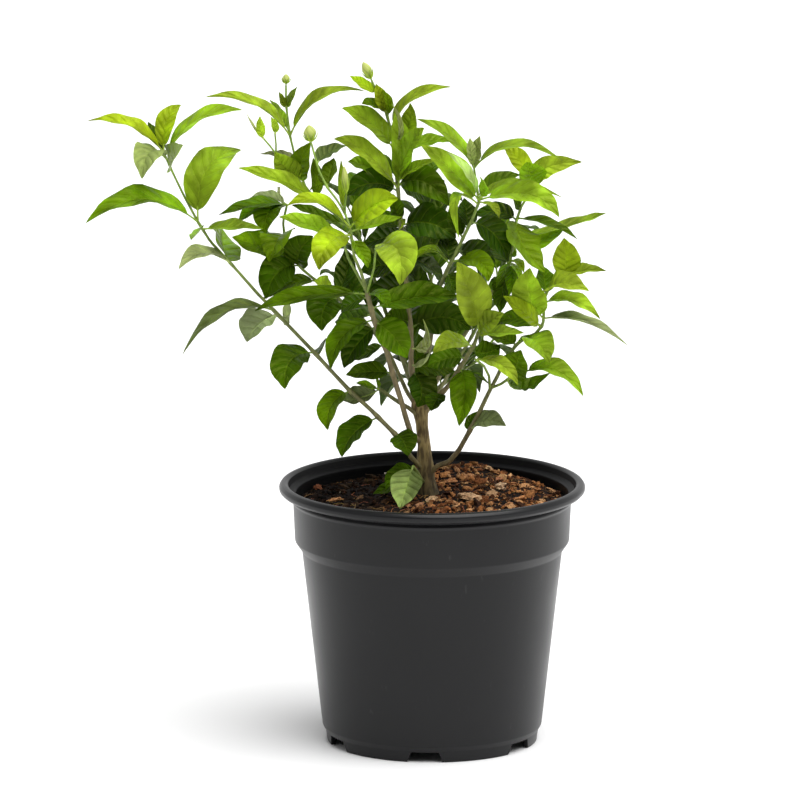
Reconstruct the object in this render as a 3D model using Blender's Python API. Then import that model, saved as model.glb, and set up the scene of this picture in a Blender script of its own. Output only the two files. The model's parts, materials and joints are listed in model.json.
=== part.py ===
"""Potted arabian jasmine: a nursery pot with feet, its soil, a woody trunk, leafy stems and flower buds."""

import math
import random
from typing import NamedTuple

import bpy
from mathutils import Matrix, Vector
from mathutils.bvhtree import BVHTree

MM = 0.001

# The view that the stems and leaves were read in: positions in it are pixels across and down.
VIEW_MIDDLE = 400.0
VIEW_DISTANCE = 7.0
MM_PER_PIXEL = 0.621
VIEW_DOWN = math.radians(11.85)
VIEW_TARGET = Vector((-20.0 * MM, 0.0, 215.8 * MM))

# Pot, in millimetres: radius and height of each corner of the wall section, from the floor outwards and back.
POT_SIDES = 36
POT_SECTION = (
    (0.0, 6.9),
    (62.4, 6.9),
    (63.2, 0.0),
    (65.4, 0.0),
    (66.4, 7.0),
    (68.4, 10.4),
    (81.0, 121.0),
    (85.4, 127.5),
    (86.5, 151.6),
    (87.9, 153.5),
    (86.6, 155.7),
    (93.2, 157.3),
    (95.1, 159.2),
    (95.3, 161.4),
    (93.9, 163.4),
    (91.6, 164.0),
    (89.6, 163.0),
    (88.9, 158.4),
    (84.7, 157.2),
    (84.9, 153.2),
    (83.8, 128.0),
    (79.4, 121.3),
    (66.8, 11.0),
    (65.4, 8.5),
    (0.0, 8.5),
)
FOOT_NOTCHES = 6
FOOT_NOTCH_WIDTH = 20.0
FOOT_NOTCH_HEIGHT = 6.6
FOOT_NOTCH_DEPTH = 12.0
FOOT_NOTCH_REACH = 64.3
FOOT_NOTCH_TURN = math.radians(-4.0)
DRAIN_HOLE_RADIUS = 6.0
DRAIN_HOLE_REACH = 50.0
DRAIN_HOLE_DEPTH = 8.0
DRAIN_HOLE_SIDES = 12
FLOOR_MIDDLE = 7.7
POT_SMOOTH = 32.0

# Soil, in millimetres: its side follows the pot's inner wall a little clear of it.
SOIL_SIDE = ((0.0, 8.9), (64.0, 8.9), (65.9, 11.2), (78.9, 121.4), (83.3, 128.2), (84.3, 147.0))
SOIL_RINGS = (84.3, 79.0, 69.0, 56.0, 40.0, 22.0)
SOIL_EDGE_HEIGHT = 150.6
SOIL_MOUND = 5.0
SOIL_HEAP = 7.0
SOIL_HEAP_PLACE = (18.0, 62.0)
SOIL_HEAP_SPREAD = (26.0, 30.0)
SOIL_ROUGHNESS = 1.9
SOIL_EDGE_WIDTH = 4.3
SOIL_EDGE_CALM = 0.25
SOIL_SEED = 7

# Trunk: view positions, depth and radius in millimetres. It stands in a plain blind hole in the soil.
TRUNK_FOOT_HEIGHT = 141.0
TRUNK_SIDES = 9
TRUNK_ROUTE = (
    ((429, 498), 0.0, 6.7),
    ((426, 480), 0.0, 5.7),
    ((425, 462), 0.0, 4.9),
    ((424, 445), 0.0, 4.2),
    ((422, 425), 0.0, 3.8),
    ((420, 408), 0.0, 4.6),
    ((419, 398), 0.0, 3.4),
)
HOLE_CLEARANCE = 0.35
HOLE_DEPTH = 40.0
HOLE_SIDES = 24
TRUNK_SMOOTH = 50.0

# Stems and leaves, in millimetres unless a name says otherwise.
STUB_LENGTH = 9.0
STUB_SIDES = 6
PATH_STEP = 26.0
DEPTH_SPREAD = 1.35
BLADE_WIDENING = 1.24
FOLD_SETTLING = 0.3
JOINT_GAP = 0.35
STEM_SIDES = 5
STALK_END = 0.09
STALK_CORNERS = 8
MIDRIB_STEPS = 24
STALK_HALF_WIDTH = 0.75
STALK_HALF_DEPTH = 0.55
BLADE_HALF_DEPTH = 0.5
LONG_BLADE_STATIONS = (0.18, 0.45, 0.76)
SHORT_BLADE_STATIONS = (0.27, 0.66)
SHORT_BLADE = 29.0
BLADE_FOLD = math.radians(20.0)
BLADE_RISE = 0.6
BLADE_FALL = 0.86
CLEAR_MARGIN = 0.45
CROSSING_MARGIN = 0.1
GROUND_CLEARANCE = 2.0
NEAREST_STEPS = 8
BUD_SIDES = 8
BUD_SMOOTH = 60.0
BUD_SETBACK = 0.1
BUD_SECTION = ((0.0, 0.0), (0.5, 0.06), (0.86, 0.26), (1.0, 0.52), (0.72, 0.8), (0.3, 0.96), (0.0, 1.0))


class Branch(NamedTuple):
    """A stretch of stem, with the radius of each end.

    Its route holds pixels across, pixels down and millimetres nearer than the pot's axis.
    """

    route: tuple
    first_radius: float
    last_radius: float


class Bud(NamedTuple):
    """A closed flower bud past the end of a branch: the view position of its tip and its width in pixels."""

    branch: int
    tip: tuple
    width: float


class LeafyStem(NamedTuple):
    """A stem that leaves the trunk, its side branches, its leaves as rows, and its buds.

    A leaf row holds the view positions of its base, middle and tip, how many millimetres nearer than the
    base its middle and tip are, its width in pixels, and how many degrees its upper face is turned away.
    """

    name: str
    branches: tuple
    leaves: tuple
    buds: tuple = ()


class FillStem(NamedTuple):
    """A stem on the far side, whose leaves are set in crossed pairs by rule."""

    name: str
    branch: Branch
    pairs: int
    leaf_length: float


LEAFY_STEMS = (
    LeafyStem(
        "leafy_stem_long_left",
        (
            Branch(
                (
                    (425, 472, 0),
                    (411, 457, 7),
                    (397, 436, 9),
                    (383, 422, 10),
                    (370, 409, 11),
                    (350, 391, 13),
                    (312, 350, 17),
                    (284, 321, 19),
                    (257, 293, 20),
                    (234, 267, 20),
                    (210, 241, 19),
                    (198, 222, 18),
                    (184, 196, 16),
                    (172, 171, 14),
                    (164, 153, 13),
                ),
                1.5,
                0.75,
            ),
        ),
        (
            (395, 434, 404, 441, 408, 456, 5, 9, 24, 20),
            (377, 419, 352, 433, 342, 457, 4, 8, 26, 42),
            (351, 391, 330, 405, 328, 430, 6, 10, 22, 35),
            (314, 352, 289, 360, 285, 389, 9, 15, 33, 30),
            (316, 354, 321, 348, 326, 338, -14, -26, 14, 50),
            (278, 315, 257, 323, 247, 342, -8, -10, 32, 142),
            (280, 317, 289, 313, 289, 302, -12, -22, 18, 150),
            (272, 310, 224, 310, 183, 354, 9, 6, 21, 60),
            (232, 265, 203, 251, 179, 269, 6, 12, 22, 60),
            (232, 265, 225, 247, 222, 229, -14, -34, 31, 35),
            (198, 222, 142, 197, 86, 223, 10, 14, 29, 55),
            (198, 222, 206, 170, 241, 150, -4, -24, 31, 15),
            (201, 228, 197, 232, 191, 240, 12, 24, 12, 30),
            (202, 229, 232, 226, 263, 229, 6, 4, 18, 58),
            (164, 153, 131, 124, 88, 121, 6, 0, 19, 58),
            (164, 153, 156, 137, 148, 122, -6, -12, 13, 35),
            (165, 153, 166, 121, 181, 105, -2, -10, 17, 20),
            (166, 154, 197, 118, 242, 110, 2, 8, 20, 58),
            (168, 160, 149, 151, 142, 179, 14, 20, 26, 25),
            (170, 166, 173, 157, 183, 145, 10, 22, 24, 30),
        ),
    ),
    LeafyStem(
        "leafy_stem_left_rosette",
        (
            Branch(
                (
                    (423, 444, 0),
                    (411, 434, 6),
                    (405, 415, 9),
                    (401, 400, 11),
                    (397, 388, 12),
                    (391, 368, 15),
                    (386, 350, 17),
                    (380, 335, 20),
                    (374, 320, 23),
                    (370, 305, 26),
                    (367, 292, 28),
                ),
                1.8,
                1.4,
            ),
            Branch(((367, 292, 28), (358, 276, 31), (348, 258, 35), (343, 240, 38)), 1.0, 0.8),
            Branch(((367, 292, 28), (361, 272, 33), (354, 256, 37), (350, 228, 40)), 1.1, 0.9),
            Branch(((367, 293, 28), (374, 268, 36), (376, 246, 48)), 0.9, 0.75),
            Branch(
                (
                    (350, 228, 40),
                    (345, 213, 36),
                    (337, 200, 32),
                    (327, 187, 28),
                    (319, 171, 24),
                    (311, 142, 18),
                ),
                0.85,
                0.75,
            ),
            Branch(
                (
                    (350, 228, 40),
                    (338, 216, 28),
                    (318, 202, 16),
                    (305, 186, 8),
                    (297, 165, 2),
                    (290, 136, 0),
                    (286, 104, 0),
                    (286, 84, 0),
                ),
                0.9,
                0.75,
            ),
            Branch(((297, 165, 2), (286, 160, 8), (276, 154, 12)), 0.75, 0.7),
            Branch(((345, 213, 36), (345, 203, 40), (346, 193, 42)), 0.75, 0.7),
            Branch(((276, 154, 12), (270, 146, 13), (264, 139, 14)), 0.7, 0.6),
            Branch(((276, 154, 12), (276, 144, 11), (275, 134, 10)), 0.7, 0.6),
        ),
        (
            (350, 229, 319, 200, 287, 206, 10, 12, 16, 50),
            (345, 236, 311, 224, 279, 217, 4, 4, 20, 45),
            (345, 230, 313, 212, 292, 205, -10, -16, 12, 45),
            (353, 236, 328, 243, 319, 270, 16, 22, 26, 15),
            (352, 228, 373, 205, 398, 199, 12, 14, 27, 20),
            (353, 230, 378, 222, 402, 217, -4, -8, 15, 55),
            (352, 238, 362, 252, 368, 268, 6, 10, 14, 30),
            (350, 236, 335, 222, 322, 215, -12, -22, 16, 40),
            (376, 246, 398, 250, 400, 285, 14, 18, 34, 10),
            (322, 195, 316, 178, 313, 158, 0, -4, 13, 35),
            (327, 188, 329, 173, 334, 158, -6, -12, 19, 35),
            (316, 164, 327, 152, 346, 146, -6, -8, 17, 45),
            (344, 212, 342, 186, 341, 160, 2, 4, 8, 20),
            (318, 202, 282, 180, 238, 168, 8, 8, 20, 50),
            (304, 184, 300, 165, 311, 142, 4, 6, 20, 25),
            (302, 180, 286, 168, 275, 152, 8, 10, 22, 30),
            (297, 158, 280, 154, 260, 154, -4, -8, 10, 55),
            (290, 136, 256, 103, 206, 97, 2, 6, 17, 60),
            (289, 132, 279, 112, 270, 100, -8, -16, 10, 45),
            (291, 136, 318, 97, 364, 91, 2, -4, 18, 60),
            (286, 110, 282, 100, 279, 92, 3, 5, 7, 30),
            (286, 110, 290, 99, 297, 87, 3, 6, 8, 30),
            (264, 139, 260, 128, 260, 116, 1, 2, 9, 25),
            (264, 139, 254, 127, 247, 114, -2, -4, 4, 60),
            (275, 134, 275, 126, 271, 117, 0, -1, 7, 25),
            (370, 322, 342, 335, 331, 369, 8, 12, 22, 35),
            (374, 327, 356, 344, 344, 368, 2, 2, 25, 30),
            (368, 296, 381, 294, 389, 308, 6, 8, 14, 40),
            (367, 294, 302, 295, 255, 311, 2, -4, 19, 45),
            (366, 297, 352, 302, 341, 312, -6, -10, 18, 35),
            (376, 322, 393, 335, 407, 358, 4, 2, 28, 15),
            (372, 315, 350, 318, 335, 322, -8, -14, 18, 45),
            (371, 308, 416, 296, 458, 297, -4, -8, 27, 35),
            (392, 372, 368, 371, 346, 375, 4, 4, 18, 30),
            (384, 345, 368, 352, 354, 360, -4, -8, 12, 35),
        ),
        (Bud(4, (309, 125), 13), Bud(5, (286, 74), 8), Bud(7, (344, 166), 7)),
    ),
    LeafyStem(
        "leafy_stem_low_left",
        (Branch(((421, 418, 0), (409, 408, 4), (400, 403, 5), (391, 397, 6), (378, 388, 8)), 1.5, 1.1),),
        (
            (379, 389, 359, 396, 338, 399, 3, 4, 22, 120),
            (379, 389, 366, 385, 356, 383, 6, 8, 9, 45),
            (379, 388, 378, 383, 376, 377, -4, -8, 5, 30),
        ),
    ),
    LeafyStem(
        "leafy_stem_left_cluster",
        (
            Branch(
                (
                    (420, 412, -1),
                    (407, 392, -8),
                    (390, 355, -11),
                    (362, 318, -9),
                    (335, 296, -6),
                    (314, 279, -3),
                    (302, 269, 0),
                    (292, 256, 2),
                    (285, 240, 3),
                    (283, 222, 3),
                    (287, 205, 3),
                ),
                1.4,
                0.8,
            ),
        ),
        (
            (284, 250, 260, 244, 232, 237, 8, 10, 27, 35),
            (287, 206, 268, 211, 266, 234, 8, 12, 26, 30),
            (287, 206, 256, 208, 238, 223, 2, 2, 15, 45),
            (287, 205, 255, 203, 219, 215, 5, 6, 17, 55),
            (288, 205, 267, 194, 249, 199, -8, -12, 13, 60),
            (288, 205, 279, 196, 280, 187, -12, -20, 13, 100),
            (285, 236, 277, 238, 269, 262, 14, 20, 30, 10),
            (298, 266, 277, 272, 266, 299, 6, 8, 30, 15),
            (300, 267, 298, 252, 313, 236, 6, 4, 29, 25),
            (333, 295, 325, 286, 314, 281, 10, 16, 18, 25),
            (316, 281, 291, 283, 262, 300, 4, 4, 16, 45),
            (340, 299, 324, 306, 322, 331, 8, 12, 32, 15),
            (354, 306, 350, 284, 343, 260, -8, -14, 22, 20),
            (292, 256, 300, 249, 307, 240, -6, -10, 9, 25),
            (335, 296, 346, 272, 345, 248, -10, -16, 20, 25),
        ),
    ),
    LeafyStem(
        "leafy_stem_top",
        (
            Branch(
                (
                    (419, 404, 0),
                    (413, 386, 1),
                    (411, 362, 2),
                    (411, 335, 2),
                    (409, 310, 1),
                    (406, 280, 0),
                    (403, 250, -2),
                    (401, 222, -4),
                    (399, 200, -5),
                    (397, 178, -6),
                    (394, 155, -6),
                    (391, 130, -6),
                    (386, 112, -5),
                    (378, 95, -3),
                    (371, 79, -2),
                ),
                1.7,
                0.8,
            ),
        ),
        (
            (399, 188, 401, 147, 394, 113, 8, 6, 20, 20),
            (391, 130, 411, 98, 451, 87, 4, 4, 15, 50),
            (394, 150, 409, 124, 410, 103, 6, 8, 17, 20),
            (397, 178, 411, 144, 424, 128, 10, 12, 17, 30),
            (394, 155, 427, 141, 450, 142, -6, -8, 16, 50),
            (398, 182, 415, 167, 437, 160, 12, 14, 12, 45),
            (399, 187, 424, 181, 449, 206, 10, 12, 26, 15),
            (399, 183, 411, 187, 423, 200, -6, -12, 18, 20),
            (402, 222, 396, 208, 393, 194, 6, 8, 14, 20),
            (405, 264, 384, 264, 360, 272, -8, -14, 26, 20),
            (407, 286, 388, 288, 368, 302, -8, -14, 24, 20),
            (404, 256, 430, 244, 456, 246, -8, -14, 24, 20),
            (390, 186, 381, 170, 366, 158, 4, 4, 3, 20),
            (396, 150, 401, 128, 392, 104, 14, 14, 5, 20),
            (402, 232, 384, 237, 363, 244, -8, -14, 22, 25),
            (399, 192, 372, 182, 345, 196, 2, 0, 28, 30),
            (398, 188, 366, 151, 334, 139, 4, 2, 19, 35),
            (397, 178, 381, 160, 359, 155, -6, -10, 13, 45),
            (398, 186, 368, 166, 348, 162, -4, -8, 18, 40),
            (393, 148, 372, 122, 342, 108, 6, 8, 22, 35),
            (386, 112, 372, 103, 362, 104, 4, 6, 11, 40),
            (387, 114, 381, 98, 376, 84, 4, 3, 12, 20),
            (388, 117, 389, 103, 382, 90, 2, 2, 8, 30),
            (377, 93, 363, 84, 350, 76, 3, 3, 11, 35),
            (402, 225, 430, 222, 456, 238, 8, 6, 33, 25),
            (402, 228, 385, 220, 360, 226, -6, -10, 20, 40),
            (401, 219, 404, 223, 399, 230, 8, 10, 5, 30),
            (404, 258, 425, 262, 445, 285, -4, -10, 30, 20),
            (411, 330, 442, 317, 471, 330, 2, 0, 30, 30),
            (411, 350, 428, 342, 423, 319, 14, 16, 11, 30),
            (411, 364, 424, 362, 430, 350, 10, 12, 10, 60),
            (412, 372, 422, 388, 417, 407, 6, 8, 28, 20),
            (412, 368, 432, 366, 455, 372, -4, -8, 22, 30),
            (410, 322, 398, 318, 384, 318, 4, 4, 22, 25),
        ),
        (Bud(0, (363, 62), 10),),
    ),
    LeafyStem(
        "leafy_stem_right_rosette",
        (
            Branch(
                (
                    (420, 398, -1),
                    (425, 376, -4),
                    (430, 345, -4),
                    (434, 315, 1),
                    (440, 286, 8),
                    (448, 268, 14),
                    (455, 255, 18),
                    (463, 238, 22),
                    (472, 220, 25),
                    (479, 202, 27),
                    (477, 188, 26),
                    (474, 168, 24),
                ),
                1.5,
                0.8,
            ),
        ),
        (
            (478, 203, 456, 197, 459, 238, 10, 12, 11, 40),
            (479, 200, 455, 171, 421, 145, 6, 4, 26, 35),
            (478, 197, 469, 174, 447, 152, 10, 12, 13, 50),
            (474, 168, 453, 137, 417, 119, 4, 4, 17, 50),
            (474, 168, 513, 144, 563, 161, 4, 2, 16, 60),
            (474, 168, 476, 152, 480, 136, 2, 4, 13, 30),
            (480, 200, 528, 193, 559, 217, 10, 14, 24, 40),
            (480, 200, 512, 184, 561, 197, -4, -8, 13, 50),
            (479, 198, 497, 181, 520, 175, -8, -14, 17, 30),
            (478, 195, 485, 187, 480, 177, 8, 10, 12, 30),
            (479, 203, 493, 206, 499, 218, 10, 12, 9, 40),
            (452, 261, 480, 261, 488, 282, 8, 12, 19, 30),
            (450, 264, 432, 249, 413, 262, 6, 8, 13, 60),
            (470, 223, 494, 233, 508, 262, -6, -10, 25, 20),
            (458, 250, 478, 253, 495, 262, -8, -14, 24, 25),
            (474, 166, 471, 151, 470, 138, 2, 4, 10, 30),
            (463, 238, 455, 222, 450, 204, -4, -6, 16, 30),
            (468, 229, 467, 214, 464, 198, -7, -12, 18, 20),
            (452, 261, 448, 250, 453, 232, -8, -14, 20, 20),
            (446, 272, 452, 284, 448, 297, -4, -6, 22, 30),
        ),
    ),
    LeafyStem(
        "leafy_stem_right_low",
        (
            Branch(
                (
                    (421, 413, 0),
                    (432, 400, 5),
                    (443, 392, 8),
                    (450, 384, 12),
                    (458, 371, 17),
                    (466, 358, 22),
                    (474, 345, 27),
                    (479, 331, 34),
                ),
                1.7,
                1.1,
            ),
        ),
        (
            (479, 331, 472, 295, 457, 262, 12, 14, 32, 15),
            (479, 332, 488, 322, 504, 313, 8, 10, 20, 20),
            (479, 334, 500, 332, 524, 333, 6, 6, 15, 50),
            (473, 347, 452, 341, 433, 353, 14, 20, 20, 30),
            (466, 358, 445, 358, 428, 368, 2, 2, 22, 30),
            (441, 393, 435, 401, 431, 411, 6, 8, 18, 25),
            (460, 368, 464, 392, 459, 426, 10, 14, 25, 15),
            (471, 350, 487, 352, 500, 345, -2, -4, 22, 25),
        ),
    ),
    LeafyStem(
        "leafy_stem_right_lower",
        (
            Branch(
                (
                    (426, 478, 0),
                    (437, 466, 2),
                    (449, 462, 3),
                    (459, 450, 5),
                    (468, 434, 8),
                    (478, 415, 12),
                    (487, 396, 16),
                    (491, 388, 18),
                    (497, 377, 21),
                    (502, 366, 23),
                    (509, 355, 25),
                    (516, 345, 26),
                    (525, 338, 27),
                    (535, 334, 27),
                    (543, 325, 27),
                    (544, 312, 26),
                    (543, 302, 25),
                    (548, 290, 25),
                    (557, 283, 25),
                    (565, 279, 25),
                ),
                1.7,
                0.75,
            ),
            Branch(((491, 388, 18), (501, 384, 22), (511, 377, 26), (522, 373, 30)), 1.0, 0.8),
            Branch(((490, 389, 18), (489, 376, 24), (484, 366, 28), (475, 359, 32)), 1.0, 0.8),
        ),
        (
            (469, 428, 486, 419, 506, 426, 8, 10, 20, 40),
            (468, 430, 470, 421, 479, 411, -4, -6, 9, 40),
            (522, 373, 556, 369, 583, 396, 4, 6, 22, 50),
            (508, 380, 522, 387, 550, 373, -6, -10, 24, 58),
            (512, 377, 516, 365, 521, 350, 6, 8, 28, 20),
            (476, 360, 501, 364, 518, 385, 12, 18, 15, 30),
            (524, 336, 539, 342, 549, 363, 8, 12, 29, 38),
            (516, 345, 526, 338, 535, 351, 10, 14, 9, 45),
            (543, 329, 524, 311, 503, 296, 8, 10, 17, 30),
            (543, 318, 584, 320, 627, 345, 4, 2, 17, 66),
            (543, 303, 572, 299, 600, 319, 6, 8, 20, 55),
            (543, 318, 529, 296, 530, 268, 6, 8, 30, 15),
            (542, 326, 520, 318, 498, 322, -6, -12, 20, 25),
            (546, 294, 560, 282, 589, 291, 10, 14, 25, 45),
            (546, 294, 545, 280, 541, 265, -6, -10, 18, 25),
            (516, 345, 505, 338, 487, 335, -4, -8, 17, 35),
            (565, 279, 566, 260, 564, 238, 0, -4, 25, 10),
            (565, 279, 581, 270, 606, 271, 2, 4, 14, 50),
        ),
    ),
    LeafyStem(
        "leafy_stem_right_upper",
        (
            Branch(
                (
                    (421, 414, -2),
                    (434, 386, -14),
                    (458, 345, -21),
                    (482, 308, -20),
                    (500, 280, -12),
                    (509, 264, -6),
                    (513, 245, -2),
                    (516, 222, 2),
                    (521, 207, 4),
                    (528, 196, 5),
                    (534, 187, 5),
                ),
                1.5,
                0.8,
            ),
        ),
        (
            (534, 187, 520, 160, 504, 148, -4, -8, 17, 25),
            (533, 189, 531, 175, 527, 162, 6, 4, 27, 20),
            (534, 187, 545, 168, 582, 162, 2, 4, 19, 35),
            (516, 218, 524, 243, 545, 273, 10, 14, 33, 12),
            (517, 219, 549, 223, 577, 239, 6, 8, 13, 55),
            (513, 246, 541, 239, 567, 221, -4, -8, 21, 40),
            (516, 220, 497, 211, 472, 216, -8, -14, 17, 25),
            (506, 270, 502, 290, 500, 313, -4, -8, 18, 25),
            (508, 268, 515, 280, 519, 295, -4, -8, 16, 25),
            (509, 264, 500, 252, 493, 240, -8, -14, 20, 20),
            (514, 240, 574, 223, 606, 213, -6, -8, 14, 60),
            (511, 258, 507, 255, 502, 250, 8, 12, 6, 40),
            (511, 258, 516, 252, 512, 246, 8, 12, 5, 30),
            (510, 262, 503, 272, 496, 288, 8, 12, 8, 40),
            (509, 264, 512, 278, 509, 296, 8, 12, 12, 25),
            (510, 262, 517, 270, 522, 283, 10, 14, 8, 35),
            (510, 262, 518, 262, 524, 273, 10, 14, 9, 30),
            (520, 208, 517, 203, 514, 196, 4, 4, 9, 30),
        ),
    ),
    LeafyStem(
        "leafy_stem_sprout",
        (Branch(((426, 486, 0), (418, 474, 10), (413, 466, 14)), 1.2, 1.0),),
        (
            (413, 466, 406, 487, 400, 509, 6, 10, 28, 12),
            (416, 471, 398, 474, 386, 490, 2, 4, 18, 40),
            (418, 474, 395, 484, 373, 494, -4, -6, 15, 40),
        ),
    ),
)

FILL_STEMS = (
    FillStem(
        "leafy_stem_back_left",
        Branch(((420, 408, -2), (406, 370, -20), (385, 310, -34), (352, 215, -42)), 1.4, 0.8),
        4,
        52.0,
    ),
    FillStem(
        "leafy_stem_back_middle",
        Branch(((421, 401, -2), (426, 350, -22), (431, 280, -34), (424, 192, -36)), 1.4, 0.8),
        6,
        50.0,
    ),
    FillStem(
        "leafy_stem_back_right",
        Branch(((422, 420, -2), (450, 372, -26), (482, 318, -42), (508, 246, -56)), 1.4, 0.8),
        4,
        52.0,
    ),
    FillStem(
        "leafy_stem_back_low_left",
        Branch(((422, 420, -2), (412, 378, -22), (388, 330, -40), (344, 296, -46)), 1.4, 0.8),
        3,
        42.0,
    ),
    FillStem(
        "leafy_stem_back_low_right",
        Branch(((421, 422, -3), (438, 388, -24), (478, 360, -42), (496, 336, -50)), 1.4, 0.8),
        3,
        38.0,
    ),
    FillStem(
        "leafy_stem_far_back",
        Branch(((423, 440, -2), (421, 396, -34), (417, 350, -56), (408, 270, -72)), 1.4, 0.8),
        4,
        50.0,
    ),
)

FILL_FIRST = 0.34
FILL_SEED = 21
FILL_WIDTH = 0.44
FILL_LIFT = 0.16
FILL_DROOP = 0.2
FILL_TURN_SPREAD = 0.35
FILL_SIZES = (0.8, 1.05)
FILL_TIP_LOSS = 0.3
FILL_ATTEMPTS = 40
FILL_TURN_STEP = 0.05
FILL_REACH_STEP = 0.008
FILL_LIFT_STEP = 0.004
FILL_DROOP_STEP = 0.01
FILL_FORWARD = (0.45, 0.5)
FILL_AWAY = (0.0, 0.25, 0.1)
FILL_FACE_OUT = -0.2

# Moves that bend a leaf clear of the rest, in millimetres and degrees, and what each costs.
CLEAR_MOVES = (3.0, 6.0, 9.0, 12.0, 16.0, 20.0, 25.0, 30.0, 36.0)
CLEAR_TURNS = (15.0, -15.0, 30.0, -30.0)
CROSSING_COST = 30.0
TIP_COST = 0.7
TURN_COST = 0.5


class LeafShape(NamedTuple):
    """A leaf, in metres: its midrib passes through three points, and its upper face looks along facing."""

    base: Vector
    middle: Vector
    tip: Vector
    facing: Vector
    width: float
    hidden: bool = False


def view_axes():
    """Return the view's position and its right, up and forward directions."""
    forward = Vector((0.0, math.cos(VIEW_DOWN), -math.sin(VIEW_DOWN)))
    right = Vector((1.0, 0.0, 0.0))
    upward = right.cross(forward)
    return VIEW_TARGET - forward * VIEW_DISTANCE, right, upward, forward


def seen_at(across, down, depth):
    """Return the point seen at a pixel that is depth millimetres nearer the viewer than the pot's axis."""
    eye, right, upward, forward = view_axes()
    focal = VIEW_DISTANCE / (MM_PER_PIXEL * MM)
    ray = forward * focal + right * (across - VIEW_MIDDLE) - upward * (down - VIEW_MIDDLE)
    return eye + ray * ((-depth * MM - eye.y) / ray.y)


def smooth_path(points, most_step):
    """Return points along a smooth curve through the given ones, no farther apart than most_step metres."""
    path = []
    for i in range(len(points) - 1):
        before = points[max(i - 1, 0)]
        start = points[i]
        end = points[i + 1]
        after = points[min(i + 2, len(points) - 1)]
        leave = (end - before) / 6.0
        arrive = (after - start) / 6.0
        steps = max(1, math.ceil((end - start).length / most_step))
        for step in range(steps):
            t = step / steps
            one = (1 - t) ** 3 * start + 3 * (1 - t) ** 2 * t * (start + leave)
            path.append(one + 3 * (1 - t) * t**2 * (end - arrive) + t**3 * end)
    path.append(points[-1])
    return path


def path_lengths(path):
    """Return the length along the path up to each of its points."""
    lengths = [0.0]
    for i in range(1, len(path)):
        lengths.append(lengths[-1] + (path[i] - path[i - 1]).length)
    return lengths


def cut_path(path, radii, start, end):
    """Return the stretch of a path between two lengths along it, with its radii."""
    lengths = path_lengths(path)

    def at(length):
        for i in range(1, len(path)):
            if lengths[i] >= length or i == len(path) - 1:
                share = (length - lengths[i - 1]) / (lengths[i] - lengths[i - 1])
                return path[i - 1].lerp(path[i], share), radii[i - 1] + (radii[i] - radii[i - 1]) * share

    kept = [at(start)]
    kept += [(path[i], radii[i]) for i in range(len(path)) if start < lengths[i] < end]
    kept.append(at(end))
    return [point for point, _ in kept], [radius for _, radius in kept]


def ring_frames(path):
    """Return two directions square to the path at each point, which turn as little as they can."""
    tangents = []
    for i in range(len(path)):
        ahead = path[min(i + 1, len(path) - 1)] - path[max(i - 1, 0)]
        tangents.append(ahead.normalized())
    side = tangents[0].orthogonal().normalized()
    frames = []
    for tangent in tangents:
        side = (side - tangent * side.dot(tangent)).normalized()
        frames.append((side, tangent.cross(side)))
    return frames


def tube(path, radii, sides):
    """Return the points and faces of a closed round tube along the path."""
    points = []
    faces = []
    for centre, radius, (side, other) in zip(path, radii, ring_frames(path)):
        for i in range(sides):
            turn = math.tau * i / sides
            points.append(centre + (side * math.cos(turn) + other * math.sin(turn)) * radius)
    for ring in range(len(path) - 1):
        for i in range(sides):
            a = ring * sides + i
            b = ring * sides + (i + 1) % sides
            faces.append((a, b, b + sides, a + sides))
    faces.append(tuple(reversed(range(sides))))
    last = (len(path) - 1) * sides
    faces.append(tuple(range(last, last + sides)))
    return points, faces


def midrib_at(leaf, t):
    """Return the point of the leaf's midrib a share t of the way along."""
    control = leaf.middle * 2.0 - (leaf.base + leaf.tip) * 0.5
    return leaf.base * (1 - t) ** 2 + control * (2 * t * (1 - t)) + leaf.tip * t**2


def midrib_frames(leaf, shares):
    """Return (point, side, upper) at each share of the midrib, turned evenly outwards from its middle."""
    count = MIDRIB_STEPS
    grid = [midrib_at(leaf, i / count) for i in range(count + 1)]
    tangents = [(grid[min(i + 1, count)] - grid[max(i - 1, 0)]).normalized() for i in range(count + 1)]
    uppers = [None] * (count + 1)
    half = count // 2
    start = leaf.facing - tangents[half] * leaf.facing.dot(tangents[half])
    uppers[half] = start.normalized()
    for i in range(half + 1, count + 1):
        upper = uppers[i - 1]
        uppers[i] = (upper - tangents[i] * upper.dot(tangents[i])).normalized()
    for i in range(half - 1, -1, -1):
        upper = uppers[i + 1]
        uppers[i] = (upper - tangents[i] * upper.dot(tangents[i])).normalized()
    frames = []
    for share in shares:
        place = min(share * count, count - 1e-6)
        i = int(place)
        upper = uppers[i].lerp(uppers[i + 1], place - i)
        tangent = tangents[i].lerp(tangents[i + 1], place - i).normalized()
        upper = (upper - tangent * upper.dot(tangent)).normalized()
        frames.append((midrib_at(leaf, share), tangent.cross(upper), upper))
    return frames


def blade_width(u):
    """Return the blade's width at a share u of its length, as a share of its widest."""
    peak = BLADE_RISE / (BLADE_RISE + BLADE_FALL)
    widest = peak**BLADE_RISE * (1 - peak) ** BLADE_FALL
    return u**BLADE_RISE * (1 - u) ** BLADE_FALL / widest


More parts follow.
